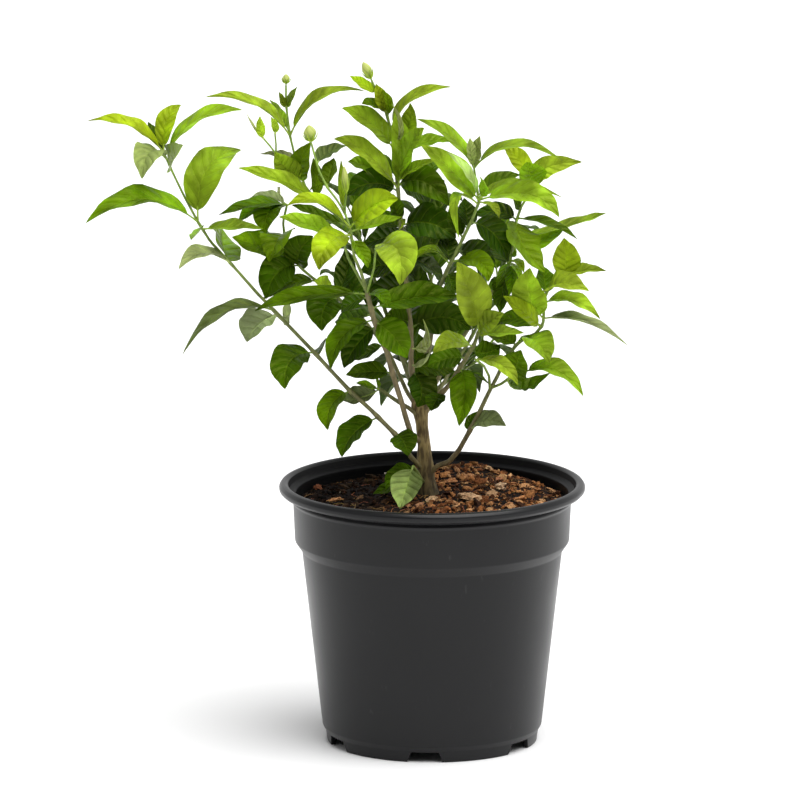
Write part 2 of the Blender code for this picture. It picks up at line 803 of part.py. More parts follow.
def coarse_blade(leaf, margin=0.0):
    """Return the points and faces of the leaf as a faceted solid, its stalk sunk in the stem.

    Each side of the blade is a pair of triangles split alike above and below, so they never cross.
    """
    short = leaf.hidden or (leaf.tip - leaf.base).length < SHORT_BLADE * MM
    stations = SHORT_BLADE_STATIONS if short else LONG_BLADE_STATIONS
    shares = [0.0, STALK_END] + [STALK_END + (1 - STALK_END) * u for u in stations]
    points = []
    for i, (centre, side, upper) in enumerate(midrib_frames(leaf, shares)):
        if i < 2:
            half = (STALK_HALF_WIDTH + margin) * MM
            deep = (STALK_HALF_DEPTH + margin) * MM
            lift = 0.0
        else:
            half = leaf.width * 0.5 * blade_width(stations[i - 2]) + margin * MM
            deep = (BLADE_HALF_DEPTH + margin) * MM
            lift = half * math.sin(BLADE_FOLD)
            half *= math.cos(BLADE_FOLD)
        points.append(centre - side * half + upper * lift)
        points.append(centre + upper * deep)
        points.append(centre + side * half + upper * lift)
        points.append(centre - upper * deep)
    points.append(leaf.tip.copy())
    tip = len(points) - 1
    faces = [(0, 3, 1), (1, 3, 2)]
    for ring in range(len(shares) - 1):
        a = ring * 4
        b = a + 4
        faces += [(a, a + 1, b + 1), (a, b + 1, b)]
        faces += [(a + 2, b + 1, a + 1), (a + 2, b + 2, b + 1)]
        faces += [(a, b + 3, a + 3), (a, b, b + 3)]
        faces += [(a + 2, a + 3, b + 3), (a + 2, b + 3, b + 2)]
    last = (len(shares) - 1) * 4
    faces += [(last, last + 1, tip), (last + 1, last + 2, tip)]
    faces += [(last + 2, last + 3, tip), (last + 3, last, tip)]
    return points, faces


class Plant:
    """Works out the trunk, the stems and where each leaf lies once it is bent clear of the rest."""

    def __init__(self):
        """Build every stem, then place the leaves in turn."""
        self.trunk = self.trunk_tubes()
        self.stems = {}
        self.leaves = {}
        self.buds = {}
        self.routes = {}
        self.own_blades = {}
        for stem in LEAFY_STEMS:
            self.add_branches(stem.name, stem.branches)
        for stem in FILL_STEMS:
            self.add_branches(stem.name, (stem.branch,))
        for stem in LEAFY_STEMS:
            self.add_buds(stem)
        self.solids = [("trunk", self.tree([tube(path, radii, TRUNK_SIDES) for path, radii in self.trunk]))]
        self.solids.append(("pot", self.tree([pot_shell()])))
        self.solids.append(("soil", self.tree([soil_body()])))
        for name, branches in self.stems.items():
            grown = [tube(path, [r + CLEAR_MARGIN * MM for r in radii], STEM_SIDES) for path, radii in branches]
            self.solids.append((name, self.tree(grown)))
        for name, (path, radius) in self.buds.items():
            self.solids.append((name, self.tree([bud_body(path, radius + CLEAR_MARGIN * MM)])))
        for stem in LEAFY_STEMS:
            self.place_leaves(stem)
        for stem in FILL_STEMS:
            self.fill_leaves(stem)

    @staticmethod
    def tree(shapes):
        """Return one search tree over several shapes."""
        points = []
        faces = []
        for shape_points, shape_faces in shapes:
            faces += [tuple(i + len(points) for i in face) for face in shape_faces]
            points += shape_points
        return BVHTree.FromPolygons(points, faces)

    @staticmethod
    def trunk_tubes():
        """Return the trunk's own tube; the stubs of the stems join it later."""
        path = [seen_at(*place, depth) for place, depth, _ in TRUNK_ROUTE]
        radii = [radius * MM for _, _, radius in TRUNK_ROUTE]
        foot = path[0].copy()
        foot.z = TRUNK_FOOT_HEIGHT * MM
        return [([foot] + path, [radii[0]] + radii)]

    def add_branches(self, name, branches):
        """Turn view routes into tubes; the first starts on the trunk, which keeps a stub of it."""
        self.stems[name] = []
        self.routes[name] = []
        for i, branch in enumerate(branches):
            points = [seen_at(across, down, depth * DEPTH_SPREAD) for across, down, depth in branch.route]
            path = smooth_path(points, PATH_STEP * MM)
            lengths = path_lengths(path)
            slope = (branch.last_radius - branch.first_radius) / lengths[-1]
            radii = [(branch.first_radius + slope * length) * MM for length in lengths]
            if i == 0:
                stub = cut_path(path, radii, 0.0, STUB_LENGTH * MM)
                self.trunk.append(stub)
                path, radii = cut_path(path, radii, (STUB_LENGTH + JOINT_GAP) * MM, lengths[-1])
            self.stems[name].append((path, radii))
            self.routes[name].append(path)

    def add_buds(self, stem):
        """Set each bud just clear of the end of its branch."""
        for count, bud in enumerate(stem.buds):
            path, radii = self.stems[stem.name][bud.branch]
            depth = stem.branches[bud.branch].route[-1][2] * DEPTH_SPREAD
            tip = seen_at(*bud.tip, depth)
            outward = (path[-1] - path[-2]).normalized()
            start = path[-1] + outward * JOINT_GAP * MM
            start += (tip - start).normalized() * BUD_SETBACK * MM
            name = stem.name.replace("leafy_stem", "flower_bud") + "_" + str(count + 1)
            self.buds[name] = ((start, tip), bud.width * 0.5 * MM_PER_PIXEL * MM)

    def nearest_on_stem(self, name, place):
        """Return the point of the stem's centre line nearest to a view position, as it is seen."""
        eye, right, upward, forward = view_axes()
        sight = (seen_at(*place, 0.0) - eye).normalized()
        best = None
        for path in self.routes[name]:
            for i in range(len(path) - 1):
                for step in range(NEAREST_STEPS + 1):
                    point = path[i].lerp(path[i + 1], step / NEAREST_STEPS)
                    ray = point - eye
                    off = (ray - sight * ray.dot(sight)).length
                    if best is None or off < best[0]:
                        best = (off, point)
        return best[1]

    def is_clear(self, leaf, own):
        """Tell whether the leaf misses everything but its own node."""
        points, faces = coarse_blade(leaf, CLEAR_MARGIN)
        shape = BVHTree.FromPolygons(points, faces)
        for name, tree in self.solids:
            if name != own and shape.overlap(tree):
                return False
        return all(point.z > GROUND_CLEARANCE * MM for point in points)

    def crossings(self, leaf, own):
        """Count the leaves of its own node that the outer part of this one crosses."""
        points, faces = coarse_blade(leaf, CROSSING_MARGIN)
        shape = BVHTree.FromPolygons(points, [face for face in faces if min(face) >= STALK_CORNERS])
        return sum(1 for other in self.own_blades.get(own, []) if shape.overlap(other))

    def accept(self, leaf, own):
        """Keep the leaf and make the later ones avoid it."""
        points, faces = coarse_blade(leaf)
        self.leaves[own].append(leaf)
        self.solids.append((own, BVHTree.FromPolygons(points, faces)))
        outer = [face for face in faces if min(face) >= STALK_CORNERS]
        self.own_blades.setdefault(own, []).append(BVHTree.FromPolygons(points, outer))

    def place_leaves(self, stem):
        """Place each leaf read from the view, moved along the line of sight until it is clear."""
        self.leaves[stem.name] = []
        for row in stem.leaves:
            base = self.nearest_on_stem(stem.name, row[0:2])
            depth = -base.y / MM
            best = None
            for move in clear_moves():
                leaf = view_leaf(base, depth, row, move)
                if not self.is_clear(leaf, stem.name):
                    continue
                cost = self.crossings(leaf, stem.name) * CROSSING_COST + abs(move[0])
                cost += abs(move[1]) * TIP_COST + abs(move[2]) * TURN_COST
                if best is None or cost < best[0]:
                    best = (cost, leaf)
                if best[0] <= cost and best[0] < CROSSING_COST:
                    break
            if best is None:
                print("no clear place for", stem.name, row[0:6])
                continue
            self.accept(best[1], stem.name)

    def fill_leaves(self, stem):
        """Set crossed pairs of leaves up a far stem, turned a little until each is clear."""
        self.leaves[stem.name] = []
        chance = random.Random(FILL_SEED + len(stem.name))
        path = self.routes[stem.name][0]
        lengths = path_lengths(path)
        for pair in range(stem.pairs + 1):
            share = FILL_FIRST + (1.0 - FILL_FIRST) * pair / stem.pairs
            length = lengths[-1] * share
            i = max(k for k in range(len(path) - 1) if lengths[k] <= length)
            base = path[i].lerp(path[i + 1], (length - lengths[i]) / (lengths[i + 1] - lengths[i]))
            along = (path[i + 1] - path[i]).normalized()
            first = along.orthogonal().normalized()
            turn = math.pi * 0.5 * pair + chance.uniform(-FILL_TURN_SPREAD, FILL_TURN_SPREAD)
            size = stem.leaf_length * MM * chance.uniform(*FILL_SIZES) * (1.0 - FILL_TIP_LOSS * share**3)
            for half in range(2):
                for attempt in range(FILL_ATTEMPTS):
                    angle = turn + math.pi * half + chance.uniform(-1, 1) * FILL_TURN_STEP * attempt
                    reach = size * (1.0 - FILL_REACH_STEP * attempt)
                    out = Matrix.Rotation(angle, 3, along) @ first
                    out += along * (FILL_FORWARD[0] + FILL_FORWARD[1] * share) + Vector(FILL_AWAY)
                    out.normalize()
                    lift = FILL_LIFT + chance.uniform(-1, 1) * FILL_LIFT_STEP * attempt
                    droop = FILL_DROOP + chance.uniform(-1, 1) * FILL_DROOP_STEP * attempt
                    middle = base + out * reach * 0.5 + Vector((0, 0, lift * reach))
                    tip = base + out * reach - Vector((0, 0, droop * reach))
                    facing = Vector((0, 0, 1)) + Vector((out.x, out.y, 0)) * FILL_FACE_OUT
                    leaf = LeafShape(base, middle, tip, facing, reach * FILL_WIDTH, True)
                    if self.is_clear(leaf, stem.name) and self.crossings(leaf, stem.name) == 0:
                        self.accept(leaf, stem.name)
                        break


def clear_moves():
    """Return the moves tried in turn: millimetres nearer for the middle and the tip, and degrees of turn."""
    moves = [(0.0, 0.0, 0.0)]
    for size in CLEAR_MOVES:
        for sign in (1, -1):
            moves.append((0.0, sign * size, 0.0))
            moves.append((sign * size, sign * size, 0.0))
            moves.append((sign * size * 0.5, sign * size, 0.0))
            moves.append((sign * size, 0.0, 0.0))
            for turn in CLEAR_TURNS:
                moves.append((sign * size * 0.7, sign * size, turn))
    return moves


def view_leaf(base, depth, row, move):
    """Return the leaf of a row, with its middle and tip moved nearer and its face turned."""
    middle = seen_at(row[2], row[3], depth + row[6] * DEPTH_SPREAD + move[0])
    tip = seen_at(row[4], row[5], depth + row[7] * DEPTH_SPREAD + move[1])
    eye, right, upward, forward = view_axes()
    along = Vector(((tip - base).dot(right), (tip - base).dot(upward)))
    across = Vector((-along.y, along.x)).normalized()
    if across.y < 0:
        across = -across
    turned = right * across.x + upward * across.y
    face = math.radians(row[9] + move[2])
    facing = turned * math.sin(face) - forward * math.cos(face)
    middle -= facing * (row[8] * MM_PER_PIXEL * MM * math.sin(BLADE_FOLD) * FOLD_SETTLING)
    return LeafShape(base, middle, tip, facing, row[8] * BLADE_WIDENING * MM_PER_PIXEL * MM)


def pot_shell():
    """Return the pot's turned shell, before its feet are cut."""
    return turned(POT_SECTION, POT_SIDES)


def turned(section, sides):
    """Return the points and faces of a section in millimetres turned round the upright axis."""
    points = []
    rows = []
    for radius, height in section:
        if radius == 0.0:
            rows.append([len(points)])
            points.append(Vector((0.0, 0.0, height * MM)))
            continue
        rows.append(list(range(len(points), len(points) + sides)))
        for i in range(sides):
            turn = math.tau * (i + 0.5) / sides
            points.append(Vector((radius * math.cos(turn), radius * math.sin(turn), height)) * MM)
    faces = []
    for lower, upper in zip(rows, rows[1:]):
        for i in range(sides):
            j = (i + 1) % sides
            if len(lower) == 1:
                faces.append((lower[0], upper[j], upper[i]))
            elif len(upper) == 1:
                faces.append((lower[i], lower[j], upper[0]))
            else:
                faces.append((lower[i], lower[j], upper[j], upper[i]))
    return points, faces


def soil_height(across, back):
    """Return how high the soil stands at a place, in millimetres, before it is roughened."""
    mound = SOIL_MOUND * (1 - (across**2 + back**2) / SOIL_RINGS[0] ** 2)
    far_across = (across - SOIL_HEAP_PLACE[0]) / SOIL_HEAP_SPREAD[0]
    far_back = (back - SOIL_HEAP_PLACE[1]) / SOIL_HEAP_SPREAD[1]
    return SOIL_EDGE_HEIGHT + mound + SOIL_HEAP * math.exp(-(far_across**2 + far_back**2) / 2)


def soil_body():
    """Return the soil: a turned side and a rough top, heaped towards the back."""
    chance = random.Random(SOIL_SEED)
    points, faces = turned(SOIL_SIDE, POT_SIDES)
    below = list(range(len(points) - POT_SIDES, len(points)))
    for radius in SOIL_RINGS:
        ring = list(range(len(points), len(points) + POT_SIDES))
        for i in range(POT_SIDES):
            turn = math.tau * (i + 0.5) / POT_SIDES
            calm = SOIL_EDGE_CALM if radius > SOIL_RINGS[0] - SOIL_EDGE_WIDTH else 1.0
            rough = chance.uniform(-1, 1) * SOIL_ROUGHNESS * calm
            across = radius * math.cos(turn)
            back = radius * math.sin(turn)
            points.append(Vector((across, back, soil_height(across, back) + rough)) * MM)
        for i in range(POT_SIDES):
            j = (i + 1) % POT_SIDES
            faces.append((below[i], below[j], ring[j]))
            faces.append((below[i], ring[j], ring[i]))
        below = ring
    points.append(Vector((0.0, 0.0, soil_height(0.0, 0.0))) * MM)
    for i in range(POT_SIDES):
        faces.append((below[i], below[(i + 1) % POT_SIDES], len(points) - 1))
    return points, faces


def bud_body(ends, radius):
    """Return a closed pear-shaped bud between two points."""
    start, tip = ends
    axis = tip - start
    side = axis.orthogonal().normalized()
    other = axis.normalized().cross(side)
    points = [start]
    rows = []
    for width, share in BUD_SECTION[1:-1]:
        rows.append(list(range(len(points), len(points) + BUD_SIDES)))
        for i in range(BUD_SIDES):
            turn = math.tau * i / BUD_SIDES
            outward = side * math.cos(turn) + other * math.sin(turn)
            points.append(start + axis * share + outward * radius * width)
    points.append(tip)
    faces = []
    for i in range(BUD_SIDES):
        j = (i + 1) % BUD_SIDES
        faces.append((0, rows[0][j], rows[0][i]))
        for lower, upper in zip(rows, rows[1:]):
            faces.append((lower[i], lower[j], upper[j], upper[i]))
        faces.append((rows[-1][i], rows[-1][j], len(points) - 1))
    return points, faces


def clear_scene():
    """Remove every object of the scene."""
    for obj in list(bpy.data.objects):
        bpy.data.objects.remove(obj)


def finish_of(name, colour, roughness, metallic=0.0):
    """Return a plain material."""
    material = bpy.data.materials.new(name)
    material.use_nodes = True
    shader = material.node_tree.nodes["Principled BSDF"]
    shader.inputs["Base Color"].default_value = (*colour, 1.0)
    shader.inputs["Roughness"].default_value = roughness
    shader.inputs["Metallic"].default_value = metallic
    return material


def mesh_object(name, shape, material=None, collection=None):
    """Return a new object made of a shape's points and faces."""
    points, faces = shape
    mesh = bpy.data.meshes.new(name)
    mesh.from_pydata([tuple(point) for point in points], [], faces)
    mesh.update()
    obj = bpy.data.objects.new(name, mesh)
    (collection or bpy.context.scene.collection).objects.link(obj)
    if material:
        mesh.materials.append(material)
    return obj


def apply_boolean(obj, operation, others):
    """Join the others to the object, or cut them from it, and remove them."""
    helpers = bpy.data.collections.new("helpers")
    bpy.context.scene.collection.children.link(helpers)
    for other in others:
        for home in list(other.users_collection):
            home.objects.unlink(other)
        helpers.objects.link(other)
    modifier = obj.modifiers.new("join", "BOOLEAN")
    modifier.operation = operation
    modifier.operand_type = "COLLECTION"
    modifier.collection = helpers
    modifier.solver = "EXACT"
    bpy.context.view_layer.update()
    graph = bpy.context.evaluated_depsgraph_get()
    mesh = bpy.data.meshes.new_from_object(obj.evaluated_get(graph))
    obj.modifiers.clear()
    old = obj.data
    obj.data = mesh
    bpy.data.meshes.remove(old)
    for other in others:
        bpy.data.objects.remove(other)
    bpy.data.collections.remove(helpers)


def smooth_round(obj, degrees):
    """Shade the object smooth, with its edges over the angle kept sharp."""
    mesh = obj.data
    for polygon in mesh.polygons:
        polygon.use_smooth = True
    mesh.set_sharp_from_angle(angle=math.radians(degrees))


def cylinder(radius, depth, sides, place):
    """Return an upright cylinder to cut with, centred on a place."""
    bpy.ops.mesh.primitive_cylinder_add(radius=radius, depth=depth, vertices=sides, location=place)
    return bpy.context.object


def build_pot(material):
    """Build the pot: a turned shell with a notched foot ring and drain holes through its floor."""
    pot = mesh_object("pot", pot_shell(), material)
    cutters = []
    for i in range(FOOT_NOTCHES):
        turn = FOOT_NOTCH_TURN - math.pi * 0.5 + math.tau * i / FOOT_NOTCHES
        bpy.ops.mesh.primitive_cube_add(size=1.0)
        notch = bpy.context.object
        notch.dimensions = (FOOT_NOTCH_DEPTH * MM, FOOT_NOTCH_WIDTH * MM, FOOT_NOTCH_HEIGHT * 2 * MM)
        notch.rotation_euler.z = turn
        notch.location = (FOOT_NOTCH_REACH * MM * math.cos(turn), FOOT_NOTCH_REACH * MM * math.sin(turn), 0.0)
        cutters.append(notch)
        reach = DRAIN_HOLE_REACH * MM
        place = (reach * math.cos(turn), reach * math.sin(turn), FLOOR_MIDDLE * MM)
        cutters.append(cylinder(DRAIN_HOLE_RADIUS * MM, DRAIN_HOLE_DEPTH * MM, DRAIN_HOLE_SIDES, place))
    apply_boolean(pot, "DIFFERENCE", cutters)
    smooth_round(pot, POT_SMOOTH)
    return pot


def build_soil(material, plant):
    """Build the soil, with a plain blind hole that the trunk stands in."""
    soil = mesh_object("soil", soil_body(), material)
    foot = plant.trunk[0][0][0]
    radius = plant.trunk[0][1][0] + HOLE_CLEARANCE * MM
    bottom = foot.z - HOLE_CLEARANCE * MM
    place = (foot.x, foot.y, bottom + HOLE_DEPTH * 0.5 * MM)
    hole = cylinder(radius / math.cos(math.pi / HOLE_SIDES), HOLE_DEPTH * MM, HOLE_SIDES, place)
    apply_boolean(soil, "DIFFERENCE", [hole])
    return soil


def build_joined(name, shapes, material):
    """Join several shapes into one solid."""
    first = mesh_object(name, shapes[0], material)
    others = [mesh_object(name + "_more", shape) for shape in shapes[1:]]
    if others:
        apply_boolean(first, "UNION", others)
    return first


def centre_on_origin():
    """Move everything so that the whole stands on the ground, centred on the origin."""
    corners = []
    for obj in bpy.data.objects:
        corners += [vertex.co for vertex in obj.data.vertices]
    shift = Vector(
        (
            -(min(c.x for c in corners) + max(c.x for c in corners)) * 0.5,
            -(min(c.y for c in corners) + max(c.y for c in corners)) * 0.5,
            -min(c.z for c in corners),
        )
    )
    for obj in bpy.data.objects:
        obj.data.transform(Matrix.Translation(shift))
        obj.data.update()


def main():
    """Build the potted plant."""
    clear_scene()
    plant = Plant()
    build_pot(finish_of("pot_plastic", (0.028, 0.028, 0.03), 0.38))
    build_soil(finish_of("soil_mix", (0.06, 0.03, 0.018), 0.95), plant)
    bark = finish_of("bark", (0.16, 0.11, 0.07), 0.85)
    path, radii = plant.trunk[0]
    shapes = [tube(path, radii, TRUNK_SIDES)]
    shapes += [tube(path, radii, STUB_SIDES) for path, radii in plant.trunk[1:]]
    trunk = build_joined("trunk", shapes, bark)
    smooth_round(trunk, TRUNK_SMOOTH)
    foliage = finish_of("foliage", (0.1, 0.24, 0.015), 0.45)
    for name, branches in plant.stems.items():
        shapes = [tube(path, radii, STEM_SIDES) for path, radii in branches]
        shapes += [coarse_blade(leaf) for leaf in plant.leaves[name]]
        build_joined(name, shapes, foliage)
    cream = finish_of("bud_cream", (0.62, 0.66, 0.3), 0.5)
    for name, (ends, radius) in plant.buds.items():
        smooth_round(mesh_object(name, bud_body(ends, radius), cream), BUD_SMOOTH)
    centre_on_origin()


if __name__ == "__main__":
    main()
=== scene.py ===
"""Potted arabian jasmine: the finer pieces, finishes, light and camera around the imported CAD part."""

import itertools
import json
import logging
import math
import random
from collections.abc import Iterable, Sequence
from dataclasses import dataclass, field
from enum import Enum
from typing import NamedTuple

import bpy
import numpy as np
from mathutils import Matrix, Vector, noise
from mathutils.bvhtree import BVHTree

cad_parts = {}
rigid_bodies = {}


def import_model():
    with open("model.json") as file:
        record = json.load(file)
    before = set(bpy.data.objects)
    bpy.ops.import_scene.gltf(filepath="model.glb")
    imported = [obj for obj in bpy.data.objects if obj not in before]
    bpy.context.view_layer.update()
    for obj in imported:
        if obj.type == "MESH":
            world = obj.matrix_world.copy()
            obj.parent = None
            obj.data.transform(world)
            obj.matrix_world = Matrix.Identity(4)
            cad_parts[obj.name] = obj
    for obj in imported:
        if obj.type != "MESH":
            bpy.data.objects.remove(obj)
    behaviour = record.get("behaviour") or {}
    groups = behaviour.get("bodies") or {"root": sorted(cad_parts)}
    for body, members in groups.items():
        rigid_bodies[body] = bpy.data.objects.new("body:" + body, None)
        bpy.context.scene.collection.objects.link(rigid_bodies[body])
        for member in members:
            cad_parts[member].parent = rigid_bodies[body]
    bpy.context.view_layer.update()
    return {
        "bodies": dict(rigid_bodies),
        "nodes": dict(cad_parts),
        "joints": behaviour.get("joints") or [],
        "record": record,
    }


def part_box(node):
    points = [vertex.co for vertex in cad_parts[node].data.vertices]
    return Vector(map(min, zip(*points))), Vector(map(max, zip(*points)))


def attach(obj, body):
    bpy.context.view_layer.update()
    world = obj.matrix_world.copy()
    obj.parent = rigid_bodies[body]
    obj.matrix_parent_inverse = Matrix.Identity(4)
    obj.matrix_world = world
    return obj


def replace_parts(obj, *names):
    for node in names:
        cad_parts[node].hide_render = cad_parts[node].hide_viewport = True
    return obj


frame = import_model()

log = logging.getLogger("jasmine")

MM = 0.001
SURFACE_MAP = "surface"
TINT = "tint"

Pixel = tuple[float, float]
Colour = tuple[float, float, float]
Faces = list[tuple[int, ...]]
Outline = tuple[list[Vector], Faces]


class Tone(Enum):
    """How light a leaf is, as a linear colour: partly its own green, from old leaves to the youngest at the
    tips, and partly painted shade on leaves deep in the bush and painted light on those in the open.
    """

    DARKEST = (0.026, 0.076, 0.001)
    DARK = (0.060, 0.136, 0.001)
    OLIVE = (0.155, 0.215, 0.060)
    MID_DARK = (0.098, 0.200, 0.001)
    MID = (0.194, 0.340, 0.004)
    MID_BRIGHT = (0.325, 0.480, 0.022)
    BRIGHT = (0.372, 0.520, 0.032)
    YELLOW = (0.375, 0.490, 0.012)
    PALE = (0.400, 0.490, 0.150)
    UNDER = (0.380, 0.440, 0.190)


class Slot(Enum):
    """The record's material slots."""

    POT = "pot_plastic"
    SOIL = "soil_mix"
    BARK = "bark"
    FOLIAGE = "foliage"
    BUD = "bud_cream"


@dataclass(frozen=True)
class View:
    """The view that the stems and leaves were read in, and that the camera looks along.

    Positions in it are pixels across and down, and depths are millimetres nearer than the pot's axis.
    """

    pixels: float = 800.0
    distance: float = 7.0
    mm_per_pixel: float = 0.621
    down: float = math.radians(11.85)
    target: Vector = Vector((-20.0 * MM, 0.0, 215.8 * MM))

    @property
    def forward(self) -> Vector:
        """Return the direction that the camera looks in."""
        return Vector((0.0, math.cos(self.down), -math.sin(self.down)))

    @property
    def upward(self) -> Vector:
        """Return the direction that is up in the picture."""
        return Vector((0.0, math.sin(self.down), math.cos(self.down)))

    @property
    def eye(self) -> Vector:
        """Return the camera's place."""
        return self.target - self.forward * self.distance

    @property
    def focal_pixels(self) -> float:
        """Return the focal length in pixels."""
        return self.distance / (self.mm_per_pixel * MM)

    def point(self, across: float, down: float, depth: float) -> Vector:
        """Return the point seen at a pixel.

        Args:
            across: Pixels from the picture's left edge.
            down: Pixels from its top edge.
            depth: Millimetres nearer the camera than the pot's axis.

        Returns:
            The point, in metres, with the pot's axis at the origin.
        """
        right, below = across - self.pixels / 2, down - self.pixels / 2
        ray = self.forward * self.focal_pixels + Vector((right, 0, 0)) - self.upward * below
        return self.eye + ray * ((-depth * MM - self.eye.y) / ray.y)


VIEW = View()


@dataclass(frozen=True)
class PotSizes:
    """The pot's sizes in millimetres: the corners of its wall section, from the floor outwards and back."""

    section: tuple[tuple[float, float], ...] = (
        (0.0, 6.9), (62.4, 6.9), (63.2, 0.0), (65.4, 0.0), (66.4, 7.0), (68.4, 10.4), (81.0, 121.0),
        (85.4, 127.5), (86.5, 151.6), (87.9, 153.5), (86.6, 155.7), (93.2, 157.3), (95.1, 159.2),
        (95.3, 161.4), (93.9, 163.4), (91.6, 164.0), (89.6, 163.0), (88.9, 158.4), (84.7, 157.2),
        (84.9, 153.2), (83.8, 128.0), (79.4, 121.3), (66.8, 11.0), (65.4, 8.5), (0.0, 8.5),
    )
    notches: int = 6
    notch_turn: float = math.radians(-94.0)
    notch_reach: float = 64.3
    notch_height: float = 6.6
    notch_top_width: float = 17.0
    notch_foot_width: float = 23.0
    hole_radius: float = 6.0
    hole_reach: float = 50.0


@dataclass(frozen=True)
class SoilSizes:
    """The soil's sizes in millimetres."""

    side: tuple[tuple[float, float], ...] = (
        (0.0, 8.9), (64.0, 8.9), (65.9, 11.2), (78.9, 121.4), (83.3, 128.2), (84.3, 147.0),
    )
    edge: float = 84.3
    edge_height: float = 150.6
    mound: float = 5.0
    heap: float = 7.0
    heap_place: tuple[float, float] = (18.0, 62.0)
    heap_spread: tuple[float, float] = (26.0, 30.0)
    coarse_roughness: float = 2.2
    fine_roughness: float = 0.9

    def height(self, across: float, back: float) -> float:
        """Return how high the soil stands at a place before it is roughened."""
        mound = self.mound * (1 - (across**2 + back**2) / self.edge**2)
        far_across = (across - self.heap_place[0]) / self.heap_spread[0]
        far_back = (back - self.heap_place[1]) / self.heap_spread[1]
        return self.edge_height + mound + self.heap * math.exp(-(far_across**2 + far_back**2) / 2)


@dataclass(frozen=True)
class GrowthSizes:
    """Sizes of stems and leaves, in millimetres or as shares, that place every leaf as the CAD part does."""

    trunk_foot: float = 141.0
    trunk_sides: int = 9
    stub: float = 9.0
    joint_gap: float = 0.35
    depth_spread: float = 1.35
    blade_widening: float = 1.24
    fold_settling: float = 0.3
    stem_sides: int = 5
    stalk_share: float = 0.09
    stalk_half_width: float = 0.75
    stalk_half_depth: float = 0.55
    blade_half_depth: float = 0.5
    long_stations: tuple[float, ...] = (0.18, 0.45, 0.76)
    short_stations: tuple[float, ...] = (0.27, 0.66)
    short_blade: float = 29.0
    fold: float = math.radians(20.0)
    rise: float = 0.6
    fall: float = 0.86
    clear_margin: float = 0.45
    path_step: float = 26.0
    bud_gap: float = 0.1
    own_margin: float = 0.1
    floor_margin: float = 2.0


@dataclass(frozen=True)
class FillRule:
    """How the leaves of the far stems are set, in radians or as shares of a leaf's length.

    Each value that ends in step is how much it may change with every further attempt to find room.
    """

    seed: int = 21
    attempts: int = 40
    first: float = 0.34
    turn_spread: float = 0.35
    turn_step: float = 0.05
    smallest: float = 0.8
    largest: float = 1.05
    end_shrink: float = 0.3
    shrink_step: float = 0.008
    low_lean: float = 0.45
    more_lean: float = 0.5
    light: Vector = Vector((0, 0.25, 0.1))
    lift: float = 0.16
    lift_step: float = 0.004
    droop: float = 0.2
    droop_step: float = 0.01
    tilt: float = -0.2
    width: float = 0.44


POT = PotSizes()
SOIL = SoilSizes()
GROWTH = GrowthSizes()
FILL = FillRule()

MIDRIB_STEPS = 24
STALK_POINTS = 8

TRUNK_ROUTE = (
    ((429, 498), 6.7),
    ((426, 480), 5.7),
    ((425, 462), 4.9),
    ((424, 445), 4.2),
    ((422, 425), 3.8),
    ((420, 408), 4.6),
    ((419, 398), 3.4),
)


class Branch(NamedTuple):
    """A stretch of stem: (pixels across, pixels down, depth) along it, and its end radii in millimetres."""

    route: tuple[tuple[float, float, float], ...]
    first_radius: float
    last_radius: float


class Bud(NamedTuple):
    """A closed flower bud past the end of a branch, with the pixel of its tip and its width in pixels."""

    branch: int
    tip: Pixel
    width: float


class LeafRow(NamedTuple):
    """A leaf as it is read from the view.

    Its base, middle and tip are pixels across and down, and its width is in pixels. Its middle and tip are
    some millimetres nearer than its base, and its upper face is turned some degrees up from the viewer.
    """

    base_across: float
    base_down: float
    middle_across: float
    middle_down: float
    tip_across: float
    tip_down: float
    middle_nearer: float
    tip_nearer: float
    width: float
    turn: float
    tone: Tone

    @classmethod
    def read(cls, table: str) -> tuple["LeafRow", ...]:
        """Return the leaves of a table in text, which has one on each line."""
        rows = [line.split() for line in table.strip().splitlines()]
        return tuple(cls(*map(int, row[:-1]), Tone[row[-1]]) for row in rows)


class LeafyStem(NamedTuple):
    """A stem that leaves the trunk, with its side branches, leaves and buds."""

    name: str
    branches: tuple[Branch, ...]
    leaves: tuple[LeafRow, ...]
    buds: tuple[Bud, ...] = ()


class FillStem(NamedTuple):
    """A stem on the far side, whose leaves are set in crossed pairs by rule."""

    name: str
    branch: Branch
    pairs: int
    leaf_length: float


